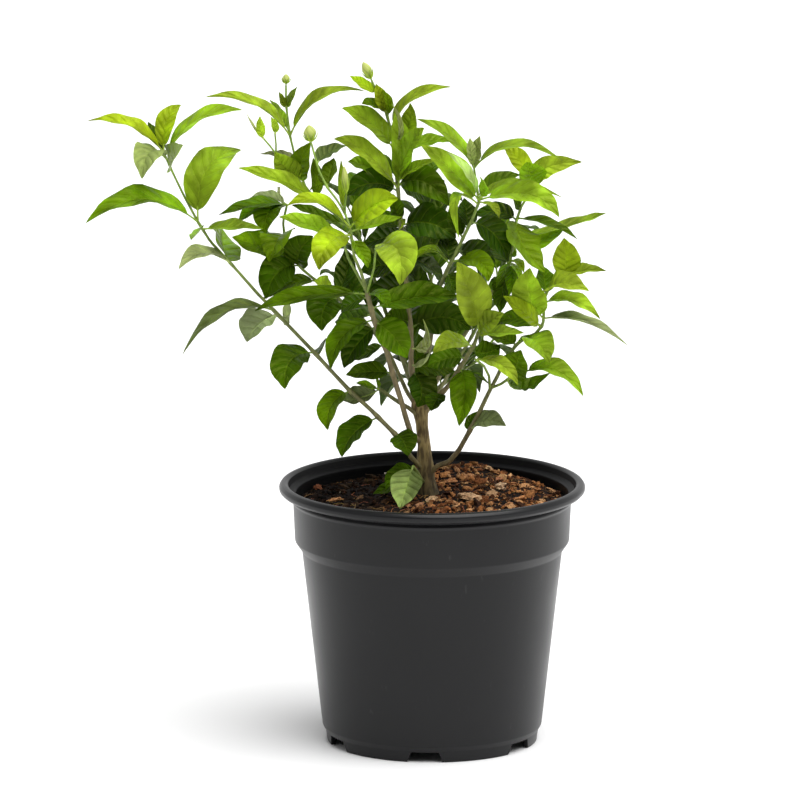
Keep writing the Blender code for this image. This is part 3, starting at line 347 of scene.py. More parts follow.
LEAFY_STEMS = (
    LeafyStem(
        "leafy_stem_long_left",
        (
            Branch(
                (
                    (425, 472, 0), (411, 457, 7), (397, 436, 9), (383, 422, 10), (370, 409, 11),
                    (350, 391, 13), (312, 350, 17), (284, 321, 19), (257, 293, 20), (234, 267, 20),
                    (210, 241, 19), (198, 222, 18), (184, 196, 16), (172, 171, 14), (164, 153, 13),
                ),
                1.5,
                0.75,
            ),
        ),
        LeafRow.read("""
        395 434 404 441 408 456   5   9 24  20 DARK
        377 419 352 433 342 457   4   8 26  42 DARK
        351 391 330 405 328 430   6  10 22  35 MID_DARK
        314 352 289 360 285 389   9  15 33  30 DARK
        316 354 321 348 326 338 -14 -26 14  50 DARK
        278 315 257 323 247 342  -8 -10 32 142 UNDER
        280 317 289 313 289 302 -12 -22 18 150 UNDER
        272 310 224 310 183 354   9   6 21  60 OLIVE
        232 265 203 251 179 269   6  12 22  60 UNDER
        232 265 225 247 222 229 -14 -34 31  35 MID
        198 222 142 197  86 223  10  14 29  55 MID
        198 222 206 170 241 150  -4 -24 31  15 MID_BRIGHT
        201 228 197 232 191 240  12  24 12  30 MID
        202 229 232 226 263 229   6   4 18  58 MID_BRIGHT
        164 153 131 124  88 121   6   0 19  58 YELLOW
        164 153 156 137 148 122  -6 -12 13  35 DARK
        165 153 166 121 181 105  -2 -10 17  20 YELLOW
        166 154 197 118 242 110   2   8 20  58 MID_BRIGHT
        168 160 149 151 142 179  14  20 26  25 PALE
        170 166 173 157 183 145  10  22 24  30 PALE
        """),
    ),
    LeafyStem(
        "leafy_stem_left_rosette",
        (
            Branch(
                (
                    (423, 444, 0), (411, 434, 6), (405, 415, 9), (401, 400, 11), (397, 388, 12),
                    (391, 368, 15), (386, 350, 17), (380, 335, 20), (374, 320, 23), (370, 305, 26),
                    (367, 292, 28),
                ),
                1.8,
                1.4,
            ),
            Branch(((367, 292, 28), (358, 276, 31), (348, 258, 35), (343, 240, 38)), 1.0, 0.8),
            Branch(((367, 292, 28), (361, 272, 33), (354, 256, 37), (350, 228, 40)), 1.1, 0.9),
            Branch(((367, 293, 28), (374, 268, 36), (376, 246, 48)), 0.9, 0.75),
            Branch(
                (
                    (350, 228, 40), (345, 213, 36), (337, 200, 32), (327, 187, 28), (319, 171, 24),
                    (311, 142, 18),
                ),
                0.85,
                0.75,
            ),
            Branch(
                (
                    (350, 228, 40), (338, 216, 28), (318, 202, 16), (305, 186, 8), (297, 165, 2),
                    (290, 136, 0), (286, 104, 0), (286, 84, 0),
                ),
                0.9,
                0.75,
            ),
            Branch(((297, 165, 2), (286, 160, 8), (276, 154, 12)), 0.75, 0.7),
            Branch(((345, 213, 36), (345, 203, 40), (346, 193, 42)), 0.75, 0.7),
            Branch(((276, 154, 12), (270, 146, 13), (264, 139, 14)), 0.7, 0.6),
            Branch(((276, 154, 12), (276, 144, 11), (275, 134, 10)), 0.7, 0.6),
        ),
        LeafRow.read("""
        350 229 319 200 287 206  10  12 16  50 YELLOW
        345 236 311 224 279 217   4   4 20  45 MID_BRIGHT
        345 230 313 212 292 205 -10 -16 12  45 DARK
        353 236 328 243 319 270  16  22 26  15 YELLOW
        352 228 373 205 398 199  12  14 27  20 YELLOW
        353 230 378 222 402 217  -4  -8 15  55 MID
        352 238 362 252 368 268   6  10 14  30 MID
        350 236 335 222 322 215 -12 -22 16  40 MID_DARK
        376 246 398 250 400 285  14  18 34  10 BRIGHT
        322 195 316 178 313 158   0  -4 13  35 MID
        327 188 329 173 334 158  -6 -12 19  35 MID
        316 164 327 152 346 146  -6  -8 17  45 OLIVE
        344 212 342 186 341 160   2   4  8  20 MID_BRIGHT
        318 202 282 180 238 168   8   8 20  50 MID_BRIGHT
        304 184 300 165 311 142   4   6 20  25 MID
        302 180 286 168 275 152   8  10 22  30 MID_BRIGHT
        297 158 280 154 260 154  -4  -8 10  55 UNDER
        290 136 256 103 206  97   2   6 17  60 BRIGHT
        289 132 279 112 270 100  -8 -16 10  45 MID
        291 136 318  97 364  91   2  -4 18  60 MID_BRIGHT
        286 110 282 100 279  92   3   5  7  30 MID_BRIGHT
        286 110 290  99 297  87   3   6  8  30 MID_BRIGHT
        264 139 260 128 260 116   1   2  9  25 BRIGHT
        264 139 254 127 247 114  -2  -4  4  60 UNDER
        275 134 275 126 271 117   0  -1  7  25 BRIGHT
        370 322 342 335 331 369   8  12 22  35 MID_DARK
        374 327 356 344 344 368   2   2 25  30 DARKEST
        368 296 381 294 389 308   6   8 14  40 MID_DARK
        367 294 302 295 255 311   2  -4 19  45 MID_DARK
        366 297 352 302 341 312  -6 -10 18  35 DARK
        376 322 393 335 407 358   4   2 28  15 MID_DARK
        372 315 350 318 335 322  -8 -14 18  45 DARK
        371 308 416 296 458 297  -4  -8 27  35 DARK
        392 372 368 371 346 375   4   4 18  30 DARK
        384 345 368 352 354 360  -4  -8 12  35 DARK
        """),
        (Bud(4, (309, 125), 13), Bud(5, (286, 74), 8), Bud(7, (344, 166), 7)),
    ),
    LeafyStem(
        "leafy_stem_low_left",
        (Branch(((421, 418, 0), (409, 408, 4), (400, 403, 5), (391, 397, 6), (378, 388, 8)), 1.5, 1.1),),
        LeafRow.read("""
        379 389 359 396 338 399   3   4 22 120 OLIVE
        379 389 366 385 356 383   6   8  9  45 MID
        379 388 378 383 376 377  -4  -8  5  30 MID
        """),
    ),
    LeafyStem(
        "leafy_stem_left_cluster",
        (
            Branch(
                (
                    (420, 412, -1), (407, 392, -8), (390, 355, -11), (362, 318, -9), (335, 296, -6),
                    (314, 279, -3), (302, 269, 0), (292, 256, 2), (285, 240, 3), (283, 222, 3),
                    (287, 205, 3),
                ),
                1.4,
                0.8,
            ),
        ),
        LeafRow.read("""
        284 250 260 244 232 237   8  10 27  35 MID
        287 206 268 211 266 234   8  12 26  30 MID_DARK
        287 206 256 208 238 223   2   2 15  45 MID_DARK
        287 205 255 203 219 215   5   6 17  55 MID_DARK
        288 205 267 194 249 199  -8 -12 13  60 UNDER
        288 205 279 196 280 187 -12 -20 13 100 UNDER
        285 236 277 238 269 262  14  20 30  10 MID
        298 266 277 272 266 299   6   8 30  15 DARK
        300 267 298 252 313 236   6   4 29  25 DARK
        333 295 325 286 314 281  10  16 18  25 BRIGHT
        316 281 291 283 262 300   4   4 16  45 MID_DARK
        340 299 324 306 322 331   8  12 32  15 DARK
        354 306 350 284 343 260  -8 -14 22  20 DARKEST
        292 256 300 249 307 240  -6 -10  9  25 DARK
        335 296 346 272 345 248 -10 -16 20  25 DARKEST
        """),
    ),
    LeafyStem(
        "leafy_stem_top",
        (
            Branch(
                (
                    (419, 404, 0), (413, 386, 1), (411, 362, 2), (411, 335, 2), (409, 310, 1), (406, 280, 0),
                    (403, 250, -2), (401, 222, -4), (399, 200, -5), (397, 178, -6), (394, 155, -6),
                    (391, 130, -6), (386, 112, -5), (378, 95, -3), (371, 79, -2),
                ),
                1.7,
                0.8,
            ),
        ),
        LeafRow.read("""
        399 188 401 147 394 113   8   6 20  20 MID_BRIGHT
        391 130 411  98 451  87   4   4 15  50 BRIGHT
        394 150 409 124 410 103   6   8 17  20 MID_BRIGHT
        397 178 411 144 424 128  10  12 17  30 MID_BRIGHT
        394 155 427 141 450 142  -6  -8 16  50 MID
        398 182 415 167 437 160  12  14 12  45 MID_BRIGHT
        399 187 424 181 449 206  10  12 26  15 DARK
        399 183 411 187 423 200  -6 -12 18  20 DARKEST
        402 222 396 208 393 194   6   8 14  20 DARK
        405 264 384 264 360 272  -8 -14 26  20 DARKEST
        407 286 388 288 368 302  -8 -14 24  20 DARKEST
        404 256 430 244 456 246  -8 -14 24  20 DARKEST
        390 186 381 170 366 158   4   4  3  20 PALE
        396 150 401 128 392 104  14  14  5  20 PALE
        402 232 384 237 363 244  -8 -14 22  25 DARKEST
        399 192 372 182 345 196   2   0 28  30 DARKEST
        398 188 366 151 334 139   4   2 19  35 BRIGHT
        397 178 381 160 359 155  -6 -10 13  45 DARK
        398 186 368 166 348 162  -4  -8 18  40 MID
        393 148 372 122 342 108   6   8 22  35 MID_BRIGHT
        386 112 372 103 362 104   4   6 11  40 MID
        387 114 381  98 376  84   4   3 12  20 YELLOW
        388 117 389 103 382  90   2   2  8  30 MID
        377  93 363  84 350  76   3   3 11  35 YELLOW
        402 225 430 222 456 238   8   6 33  25 DARKEST
        402 228 385 220 360 226  -6 -10 20  40 DARK
        401 219 404 223 399 230   8  10  5  30 BRIGHT
        404 258 425 262 445 285  -4 -10 30  20 DARKEST
        411 330 442 317 471 330   2   0 30  30 DARKEST
        411 350 428 342 423 319  14  16 11  30 PALE
        411 364 424 362 430 350  10  12 10  60 UNDER
        412 372 422 388 417 407   6   8 28  20 DARKEST
        412 368 432 366 455 372  -4  -8 22  30 DARK
        410 322 398 318 384 318   4   4 22  25 DARK
        """),
        (Bud(0, (363, 62), 10),),
    ),
    LeafyStem(
        "leafy_stem_right_rosette",
        (
            Branch(
                (
                    (420, 398, -1), (425, 376, -4), (430, 345, -4), (434, 315, 1), (440, 286, 8),
                    (448, 268, 14), (455, 255, 18), (463, 238, 22), (472, 220, 25), (479, 202, 27),
                    (477, 188, 26), (474, 168, 24),
                ),
                1.5,
                0.8,
            ),
        ),
        LeafRow.read("""
        478 203 456 197 459 238  10  12 11  40 BRIGHT
        479 200 455 171 421 145   6   4 26  35 MID_BRIGHT
        478 197 469 174 447 152  10  12 13  50 PALE
        474 168 453 137 417 119   4   4 17  50 MID_BRIGHT
        474 168 513 144 563 161   4   2 16  60 MID_BRIGHT
        474 168 476 152 480 136   2   4 13  30 PALE
        480 200 528 193 559 217  10  14 24  40 MID_BRIGHT
        480 200 512 184 561 197  -4  -8 13  50 BRIGHT
        479 198 497 181 520 175  -8 -14 17  30 MID_DARK
        478 195 485 187 480 177   8  10 12  30 MID_BRIGHT
        479 203 493 206 499 218  10  12  9  40 BRIGHT
        452 261 480 261 488 282   8  12 19  30 MID
        450 264 432 249 413 262   6   8 13  60 MID
        470 223 494 233 508 262  -6 -10 25  20 DARKEST
        458 250 478 253 495 262  -8 -14 24  25 DARKEST
        474 166 471 151 470 138   2   4 10  30 PALE
        463 238 455 222 450 204  -4  -6 16  30 DARK
        468 229 467 214 464 198  -7 -12 18  20 DARKEST
        452 261 448 250 453 232  -8 -14 20  20 DARKEST
        446 272 452 284 448 297  -4  -6 22  30 DARK
        """),
    ),
    LeafyStem(
        "leafy_stem_right_low",
        (
            Branch(
                (
                    (421, 413, 0), (432, 400, 5), (443, 392, 8), (450, 384, 12), (458, 371, 17),
                    (466, 358, 22), (474, 345, 27), (479, 331, 34),
                ),
                1.7,
                1.1,
            ),
        ),
        LeafRow.read("""
        479 331 472 295 457 262  12  14 32  15 BRIGHT
        479 332 488 322 504 313   8  10 20  20 BRIGHT
        479 334 500 332 524 333   6   6 15  50 BRIGHT
        473 347 452 341 433 353  14  20 20  30 BRIGHT
        466 358 445 358 428 368   2   2 22  30 DARK
        441 393 435 401 431 411   6   8 18  25 DARK
        460 368 464 392 459 426  10  14 25  15 MID_DARK
        471 350 487 352 500 345  -2  -4 22  25 DARK
        """),
    ),
    LeafyStem(
        "leafy_stem_right_lower",
        (
            Branch(
                (
                    (426, 478, 0), (437, 466, 2), (449, 462, 3), (459, 450, 5), (468, 434, 8),
                    (478, 415, 12), (487, 396, 16), (491, 388, 18), (497, 377, 21), (502, 366, 23),
                    (509, 355, 25), (516, 345, 26), (525, 338, 27), (535, 334, 27), (543, 325, 27),
                    (544, 312, 26), (543, 302, 25), (548, 290, 25), (557, 283, 25), (565, 279, 25),
                ),
                1.7,
                0.75,
            ),
            Branch(((491, 388, 18), (501, 384, 22), (511, 377, 26), (522, 373, 30)), 1.0, 0.8),
            Branch(((490, 389, 18), (489, 376, 24), (484, 366, 28), (475, 359, 32)), 1.0, 0.8),
        ),
        LeafRow.read("""
        469 428 486 419 506 426   8  10 20  40 UNDER
        468 430 470 421 479 411  -4  -6  9  40 DARK
        522 373 556 369 583 396   4   6 22  50 MID_BRIGHT
        508 380 522 387 550 373  -6 -10 24  58 MID_DARK
        512 377 516 365 521 350   6   8 28  20 MID_DARK
        476 360 501 364 518 385  12  18 15  30 BRIGHT
        524 336 539 342 549 363   8  12 29  38 MID_BRIGHT
        516 345 526 338 535 351  10  14  9  45 MID
        543 329 524 311 503 296   8  10 17  30 YELLOW
        543 318 584 320 627 345   4   2 17  66 UNDER
        543 303 572 299 600 319   6   8 20  55 MID_BRIGHT
        543 318 529 296 530 268   6   8 30  15 MID_BRIGHT
        542 326 520 318 498 322  -6 -12 20  25 MID_DARK
        546 294 560 282 589 291  10  14 25  45 BRIGHT
        546 294 545 280 541 265  -6 -10 18  25 MID_DARK
        516 345 505 338 487 335  -4  -8 17  35 MID_DARK
        565 279 566 260 564 238   0  -4 25  10 YELLOW
        565 279 581 270 606 271   2   4 14  50 BRIGHT
        """),
    ),
    LeafyStem(
        "leafy_stem_right_upper",
        (
            Branch(
                (
                    (421, 414, -2), (434, 386, -14), (458, 345, -21), (482, 308, -20), (500, 280, -12),
                    (509, 264, -6), (513, 245, -2), (516, 222, 2), (521, 207, 4), (528, 196, 5),
                    (534, 187, 5),
                ),
                1.5,
                0.8,
            ),
        ),
        LeafRow.read("""
        534 187 520 160 504 148  -4  -8 17  25 YELLOW
        533 189 531 175 527 162   6   4 27  20 MID
        534 187 545 168 582 162   2   4 19  35 BRIGHT
        516 218 524 243 545 273  10  14 33  12 MID
        517 219 549 223 577 239   6   8 13  55 MID_DARK
        513 246 541 239 567 221  -4  -8 21  40 MID
        516 220 497 211 472 216  -8 -14 17  25 DARKEST
        506 270 502 290 500 313  -4  -8 18  25 DARK
        508 268 515 280 519 295  -4  -8 16  25 DARK
        509 264 500 252 493 240  -8 -14 20  20 DARKEST
        514 240 574 223 606 213  -6  -8 14  60 BRIGHT
        511 258 507 255 502 250   8  12  6  40 MID_BRIGHT
        511 258 516 252 512 246   8  12  5  30 MID_BRIGHT
        510 262 503 272 496 288   8  12  8  40 MID
        509 264 512 278 509 296   8  12 12  25 MID
        510 262 517 270 522 283  10  14  8  35 MID_BRIGHT
        510 262 518 262 524 273  10  14  9  30 MID_BRIGHT
        520 208 517 203 514 196   4   4  9  30 DARK
        """),
    ),
    LeafyStem(
        "leafy_stem_sprout",
        (Branch(((426, 486, 0), (418, 474, 10), (413, 466, 14)), 1.2, 1.0),),
        LeafRow.read("""
        413 466 406 487 400 509   6  10 28  12 PALE
        416 471 398 474 386 490   2   4 18  40 DARK
        418 474 395 484 373 494  -4  -6 15  40 DARK
        """),
    ),
)

FILL_STEMS = (
    FillStem(
        "leafy_stem_back_left",
        Branch(((420, 408, -2), (406, 370, -20), (385, 310, -34), (352, 215, -42)), 1.4, 0.8),
        4,
        52.0,
    ),
    FillStem(
        "leafy_stem_back_middle",
        Branch(((421, 401, -2), (426, 350, -22), (431, 280, -34), (424, 192, -36)), 1.4, 0.8),
        6,
        50.0,
    ),
    FillStem(
        "leafy_stem_back_right",
        Branch(((422, 420, -2), (450, 372, -26), (482, 318, -42), (508, 246, -56)), 1.4, 0.8),
        4,
        52.0,
    ),
    FillStem(
        "leafy_stem_back_low_left",
        Branch(((422, 420, -2), (412, 378, -22), (388, 330, -40), (344, 296, -46)), 1.4, 0.8),
        3,
        42.0,
    ),
    FillStem(
        "leafy_stem_back_low_right",
        Branch(((421, 422, -3), (438, 388, -24), (478, 360, -42), (496, 336, -50)), 1.4, 0.8),
        3,
        38.0,
    ),
    FillStem(
        "leafy_stem_far_back",
        Branch(((423, 440, -2), (421, 396, -34), (417, 350, -56), (408, 270, -72)), 1.4, 0.8),
        4,
        50.0,
    ),
)


class LeafShape(NamedTuple):
    """A leaf in space, in metres: its midrib runs through three points, its upper face looks along facing."""

    base: Vector
    middle: Vector
    tip: Vector
    facing: Vector
    width: float
    tone: Tone
    hidden: bool = False

    def midrib(self, t: float) -> Vector:
        """Return the point of the midrib a share t of the way along."""
        control = self.middle * 2.0 - (self.base + self.tip) * 0.5
        return self.base * (1 - t) ** 2 + control * (2 * t * (1 - t)) + self.tip * t**2

    def frames(self, shares: Iterable[float]) -> list[tuple[Vector, Vector, Vector]]:
        """Return the blade's directions along its midrib, turned evenly outwards from its middle.

        Args:
            shares: How far along the midrib each frame is, from 0 to 1.

        Returns:
            A point, the direction across the blade and the direction out of its upper face, for each share.
        """
        count = MIDRIB_STEPS
        grid = [self.midrib(i / count) for i in range(count + 1)]
        tangents = [(grid[min(i + 1, count)] - grid[max(i - 1, 0)]).normalized() for i in range(count + 1)]
        half = count // 2
        uppers = [self.facing.copy() for _ in range(count + 1)]
        uppers[half] = (self.facing - tangents[half] * self.facing.dot(tangents[half])).normalized()
        outwards = [(i, i - 1) for i in range(half + 1, count + 1)]
        outwards += [(i, i + 1) for i in range(half - 1, -1, -1)]
        for i, source in outwards:
            upper = uppers[source]
            uppers[i] = (upper - tangents[i] * upper.dot(tangents[i])).normalized()
        made = []
        for share in shares:
            place = min(share * count, count - 1e-6)
            i = int(place)
            tangent = tangents[i].lerp(tangents[i + 1], place - i).normalized()
            upper = uppers[i].lerp(uppers[i + 1], place - i)
            upper = (upper - tangent * upper.dot(tangent)).normalized()
            made.append((self.midrib(share), tangent.cross(upper), upper))
        return made


def blade_width(u: float) -> float:
    """Return the blade's width at a share u of its length, as a share of its widest."""
    peak = GROWTH.rise / (GROWTH.rise + GROWTH.fall)
    widest = peak**GROWTH.rise * (1 - peak) ** GROWTH.fall
    return u**GROWTH.rise * (1 - u) ** GROWTH.fall / widest


def coarse_blade(leaf: LeafShape, margin: float = 0.0) -> Outline:
    """Return the CAD part's faceted blade, which says where the leaf needs room.

    Args:
        leaf: The leaf.
        margin: Millimetres by which it is thickened all round.

    Returns:
        Its points and faces.
    """
    short = leaf.hidden or (leaf.tip - leaf.base).length < GROWTH.short_blade * MM
    stations = GROWTH.short_stations if short else GROWTH.long_stations
    shares = [0.0, GROWTH.stalk_share] + [GROWTH.stalk_share + (1 - GROWTH.stalk_share) * u for u in stations]
    points: list[Vector] = []
    for i, (centre, side, upper) in enumerate(leaf.frames(shares)):
        if i < 2:
            half = (GROWTH.stalk_half_width + margin) * MM
            deep = (GROWTH.stalk_half_depth + margin) * MM
            lift = 0.0
        else:
            half = leaf.width * 0.5 * blade_width(stations[i - 2]) + margin * MM
            deep = (GROWTH.blade_half_depth + margin) * MM
            lift = half * math.sin(GROWTH.fold)
            half *= math.cos(GROWTH.fold)
        points += [centre - side * half + upper * lift, centre + upper * deep]
        points += [centre + side * half + upper * lift, centre - upper * deep]
    points.append(leaf.tip.copy())
    tip = len(points) - 1
    faces: Faces = [(0, 3, 1), (1, 3, 2)]
    for ring in range(len(shares) - 1):
        a = ring * 4
        b = a + 4
        faces += [(a, a + 1, b + 1), (a, b + 1, b), (a + 2, b + 1, a + 1), (a + 2, b + 2, b + 1)]
        faces += [(a, b + 3, a + 3), (a, b, b + 3), (a + 2, a + 3, b + 3), (a + 2, b + 3, b + 2)]
    last = (len(shares) - 1) * 4
    faces += [(last + i, last + (i + 1) % 4, tip) for i in range(4)]
    return points, faces


@dataclass
class Path:
    """A smooth line through space with a radius at each of its points, in metres."""

    points: list[Vector]
    radii: list[float] = field(default_factory=list)

    @classmethod
    def through(cls, stops: Sequence[Vector], most_step: float) -> "Path":
        """Return a smooth curve through the stops, with points no farther apart than most_step metres."""
        made = []
        for i in range(len(stops) - 1):
            start, end = stops[i], stops[i + 1]
            leave = (end - stops[max(i - 1, 0)]) / 6.0
            arrive = (stops[min(i + 2, len(stops) - 1)] - start) / 6.0
            steps = max(1, math.ceil((end - start).length / most_step))
            for step in range(steps):
                t = step / steps
                point = (1 - t) ** 3 * start + 3 * (1 - t) ** 2 * t * (start + leave)
                made.append(point + 3 * (1 - t) * t**2 * (end - arrive) + t**3 * end)
        made.append(stops[-1])
        return cls(made)

    @property
    def lengths(self) -> list[float]:
        """Return the length along the path up to each of its points."""
        found = [0.0]
        for before, point in zip(self.points, self.points[1:]):
            found.append(found[-1] + (point - before).length)
        return found

    def tapered(self, first: float, last: float) -> "Path":
        """Return the path with radii, in millimetres, that change evenly along it."""
        lengths = self.lengths
        slope = (last - first) / lengths[-1]
        return Path(self.points, [(first + slope * length) * MM for length in lengths])

    def at(self, length: float) -> tuple[Vector, float]:
        """Return the point and the radius at a length along the path."""
        lengths = self.lengths
        i = next((k for k in range(1, len(lengths)) if lengths[k] >= length), len(lengths) - 1)
        share = (length - lengths[i - 1]) / (lengths[i] - lengths[i - 1])
        radius = self.radii[i - 1] + (self.radii[i] - self.radii[i - 1]) * share
        return self.points[i - 1].lerp(self.points[i], share), radius

    def cut(self, start: float, end: float) -> "Path":
        """Return the stretch between two lengths along the path."""
        kept = [self.at(start)]
        stops = zip(self.points, self.radii, self.lengths)
        kept += [(point, radius) for point, radius, length in stops if start < length < end]
        kept.append(self.at(end))
        return Path([point for point, _ in kept], [radius for _, radius in kept])

    def frames(self) -> list[tuple[Vector, Vector, Vector]]:
        """Return the tangent and two directions square to it at each point, turned as little as can be."""
        last = len(self.points) - 1
        ends = [(self.points[max(i - 1, 0)], self.points[min(i + 1, last)]) for i in range(last + 1)]
        tangents = [(after - before).normalized() for before, after in ends]
        side = tangents[0].orthogonal().normalized()
        made = []
        for tangent in tangents:
            side = (side - tangent * side.dot(tangent)).normalized()
            made.append((tangent, side, tangent.cross(side)))
        return made

    def tube(self, sides: int, grow: float = 0.0) -> Outline:
        """Return the points and faces of a closed round tube along the path, grow metres thicker."""
        points = []
        for centre, radius, (_, side, other) in zip(self.points, self.radii, self.frames()):
            points += [centre + around(side, other, i, sides) * (radius + grow) for i in range(sides)]
        return points, tube_faces(len(self.points), sides)


def around(side: Vector, other: Vector, number: int, count: int) -> Vector:
    """Return the direction that is this many of count even steps round from side by way of other."""
    turn = math.tau * number / count
    return side * math.cos(turn) + other * math.sin(turn)


def square_to(line: Vector) -> tuple[Vector, Vector]:
    """Return two directions square to a line and to each other."""
    side = line.orthogonal().normalized()
    return side, line.normalized().cross(side)


def tube_faces(rings: int, sides: int) -> Faces:
    """Return the faces of a closed tube whose points are numbered ring by ring."""
    faces: Faces = []
    for ring in range(rings - 1):
        for i in range(sides):
            a = ring * sides + i
            b = ring * sides + (i + 1) % sides
            faces.append((a, b, b + sides, a + sides))
    last = (rings - 1) * sides
    return faces + [tuple(reversed(range(sides))), tuple(range(last, last + sides))]


def turned(section: Sequence[tuple[float, float]], sides: int) -> Outline:
    """Return a section in millimetres turned round the upright axis.

    Args:
        section: Radius and height of each corner.
        sides: How many sides the turned surface has.

    Returns:
        Its points and faces.
    """
    points: list[Vector] = []
    rows: list[list[int]] = []
    for radius, height in section:
        count = 1 if radius == 0.0 else sides
        rows.append(list(range(len(points), len(points) + count)))
        for i in range(count):
            turn = math.tau * (i + 0.5) / sides
            points.append(Vector((radius * math.cos(turn), radius * math.sin(turn), height)) * MM)
    faces: Faces = []
    for lower, upper in zip(rows, rows[1:]):
        for i in range(sides):
            j = (i + 1) % sides
            if len(lower) == 1:
                faces.append((lower[0], upper[j], upper[i]))
            elif len(upper) == 1:
                faces.append((lower[i], lower[j], upper[0]))
            else:
                faces.append((lower[i], lower[j], upper[j], upper[i]))
    return points, faces


def search_tree(shapes: Iterable[Outline]) -> BVHTree:
    """Return one search tree over several shapes."""
    points: list[Vector] = []
    faces: Faces = []
    for shape_points, shape_faces in shapes:
        faces += [tuple(i + len(points) for i in face) for face in shape_faces]
        points += shape_points
    return BVHTree.FromPolygons(points, faces)


class Layout:
    """Works out where each stem runs and where each leaf lies once it is bent clear of the rest."""

    CAD_POT_SIDES = 36
    CAD_BUD_SIDES = 8
    CAD_BUD_SECTION = (
        (0.0, 0.0), (0.5, 0.06), (0.86, 0.26), (1.0, 0.52), (0.72, 0.8), (0.3, 0.96), (0.0, 1.0),
    )
    CAD_SOIL_RINGS = (84.3, 79.0, 69.0, 56.0, 40.0, 22.0)
    CAD_SOIL_ROUGHNESS = 1.9
    CAD_SOIL_EDGE_FROM = 80.0
    CAD_SOIL_EDGE_SHARE = 0.25
    CAD_SOIL_SEED = 7

    SIGHT_STEPS = 8
    CLEAR_SIZES = (3.0, 6.0, 9.0, 12.0, 16.0, 20.0, 25.0, 30.0, 36.0)
    CLEAR_TURNS = (15.0, -15.0, 30.0, -30.0)
    CROSSING_COST = 30.0
    TIP_COST = 0.7
    TURN_COST = 0.5

    def __init__(self) -> None:
        """Lay out the stems, then place the leaves in turn."""
        self.trunk = self._trunk_path()
        self.stubs: list[Path] = []
        self.full_stems: dict[str, list[Path]] = {}
        self.stems: dict[str, list[Path]] = {}
        self.leaves: dict[str, list[LeafShape]] = {}
        self.buds: dict[str, tuple[Vector, Vector, float]] = {}
        self.own_blades: dict[str, list[BVHTree]] = {}
        for stem in LEAFY_STEMS:
            self._add_branches(stem.name, stem.branches)
        for stem in FILL_STEMS:
            self._add_branches(stem.name, (stem.branch,))
        for stem in LEAFY_STEMS:
            self._add_buds(stem)
        trunk_parts = [self.trunk.tube(GROWTH.trunk_sides)]
        trunk_parts += [stub.tube(GROWTH.trunk_sides) for stub in self.stubs]
        self.solids = [("trunk", search_tree(trunk_parts))]
        self.solids.append(("pot", search_tree([turned(POT.section, self.CAD_POT_SIDES)])))
        self.solids.append(("soil", search_tree([self._cad_soil()])))
        margin = GROWTH.clear_margin * MM
        for name, branches in self.stems.items():
            self.solids.append((name, search_tree(path.tube(GROWTH.stem_sides, margin) for path in branches)))
        for name, (start, tip, radius) in self.buds.items():
            self.solids.append((name, search_tree([self._cad_bud(start, tip, radius + margin)])))
        for stem in LEAFY_STEMS:
            self._place_leaves(stem)
        for stem in FILL_STEMS:
            self._fill_leaves(stem)

    @staticmethod
    def _trunk_path() -> Path:
        """Return the trunk's line, from its foot in the soil up."""
        points = [VIEW.point(*place, 0.0) for place, _ in TRUNK_ROUTE]
        radii = [radius * MM for _, radius in TRUNK_ROUTE]
        foot = points[0].copy()
        foot.z = GROWTH.trunk_foot * MM
        return Path([foot] + points, [radii[0]] + radii)

    @classmethod
    def _cad_soil(cls) -> Outline:
        """Return the CAD part's soil, which says where leaves have no room."""
        chance = random.Random(cls.CAD_SOIL_SEED)
        sides = cls.CAD_POT_SIDES
        points, faces = turned(SOIL.side, sides)
        below = list(range(len(points) - sides, len(points)))
        for radius in cls.CAD_SOIL_RINGS:
            ring = list(range(len(points), len(points) + sides))
            for i in range(sides):
                turn = math.tau * (i + 0.5) / sides
                calm = cls.CAD_SOIL_EDGE_SHARE if radius > cls.CAD_SOIL_EDGE_FROM else 1.0
                rough = chance.uniform(-1, 1) * cls.CAD_SOIL_ROUGHNESS * calm
                across, back = radius * math.cos(turn), radius * math.sin(turn)
                points.append(Vector((across, back, SOIL.height(across, back) + rough)) * MM)
            for i in range(sides):
                j = (i + 1) % sides
                faces += [(below[i], below[j], ring[j]), (below[i], ring[j], ring[i])]
            below = ring
        points.append(Vector((0.0, 0.0, SOIL.height(0.0, 0.0))) * MM)
        faces += [(below[i], below[(i + 1) % sides], len(points) - 1) for i in range(sides)]
        return points, faces

    @classmethod
    def _cad_bud(cls, start: Vector, tip: Vector, radius: float) -> Outline:
        """Return the CAD part's bud between two points."""
        axis = tip - start
        side, other = square_to(axis)
        sides = cls.CAD_BUD_SIDES
        points = []
        for width, share in cls.CAD_BUD_SECTION[1:-1]:
            centre = start + axis * share
            points += [centre + around(side, other, i, sides) * radius * width for i in range(sides)]
        rings = len(cls.CAD_BUD_SECTION) - 2
        faces = tube_faces(rings, sides)[:-2]
        last = (rings - 1) * sides
        for i in range(sides):
            j = (i + 1) % sides
            faces += [(rings * sides, j, i), (last + i, last + j, rings * sides + 1)]
        return points + [start, tip], faces

    def _add_branches(self, name: str, branches: Iterable[Branch]) -> None:
        """Turn view routes into paths; the first starts on the trunk, which keeps a stub of it."""
        self.stems[name] = []
        self.full_stems[name] = []
        for i, branch in enumerate(branches):
            stops = [VIEW.point(x, y, depth * GROWTH.depth_spread) for x, y, depth in branch.route]
            path = Path.through(stops, GROWTH.path_step * MM).tapered(branch.first_radius, branch.last_radius)
            self.full_stems[name].append(path)
            if i == 0:
                self.stubs.append(path.cut(0.0, GROWTH.stub * MM))
                path = path.cut((GROWTH.stub + GROWTH.joint_gap) * MM, path.lengths[-1])
            self.stems[name].append(path)

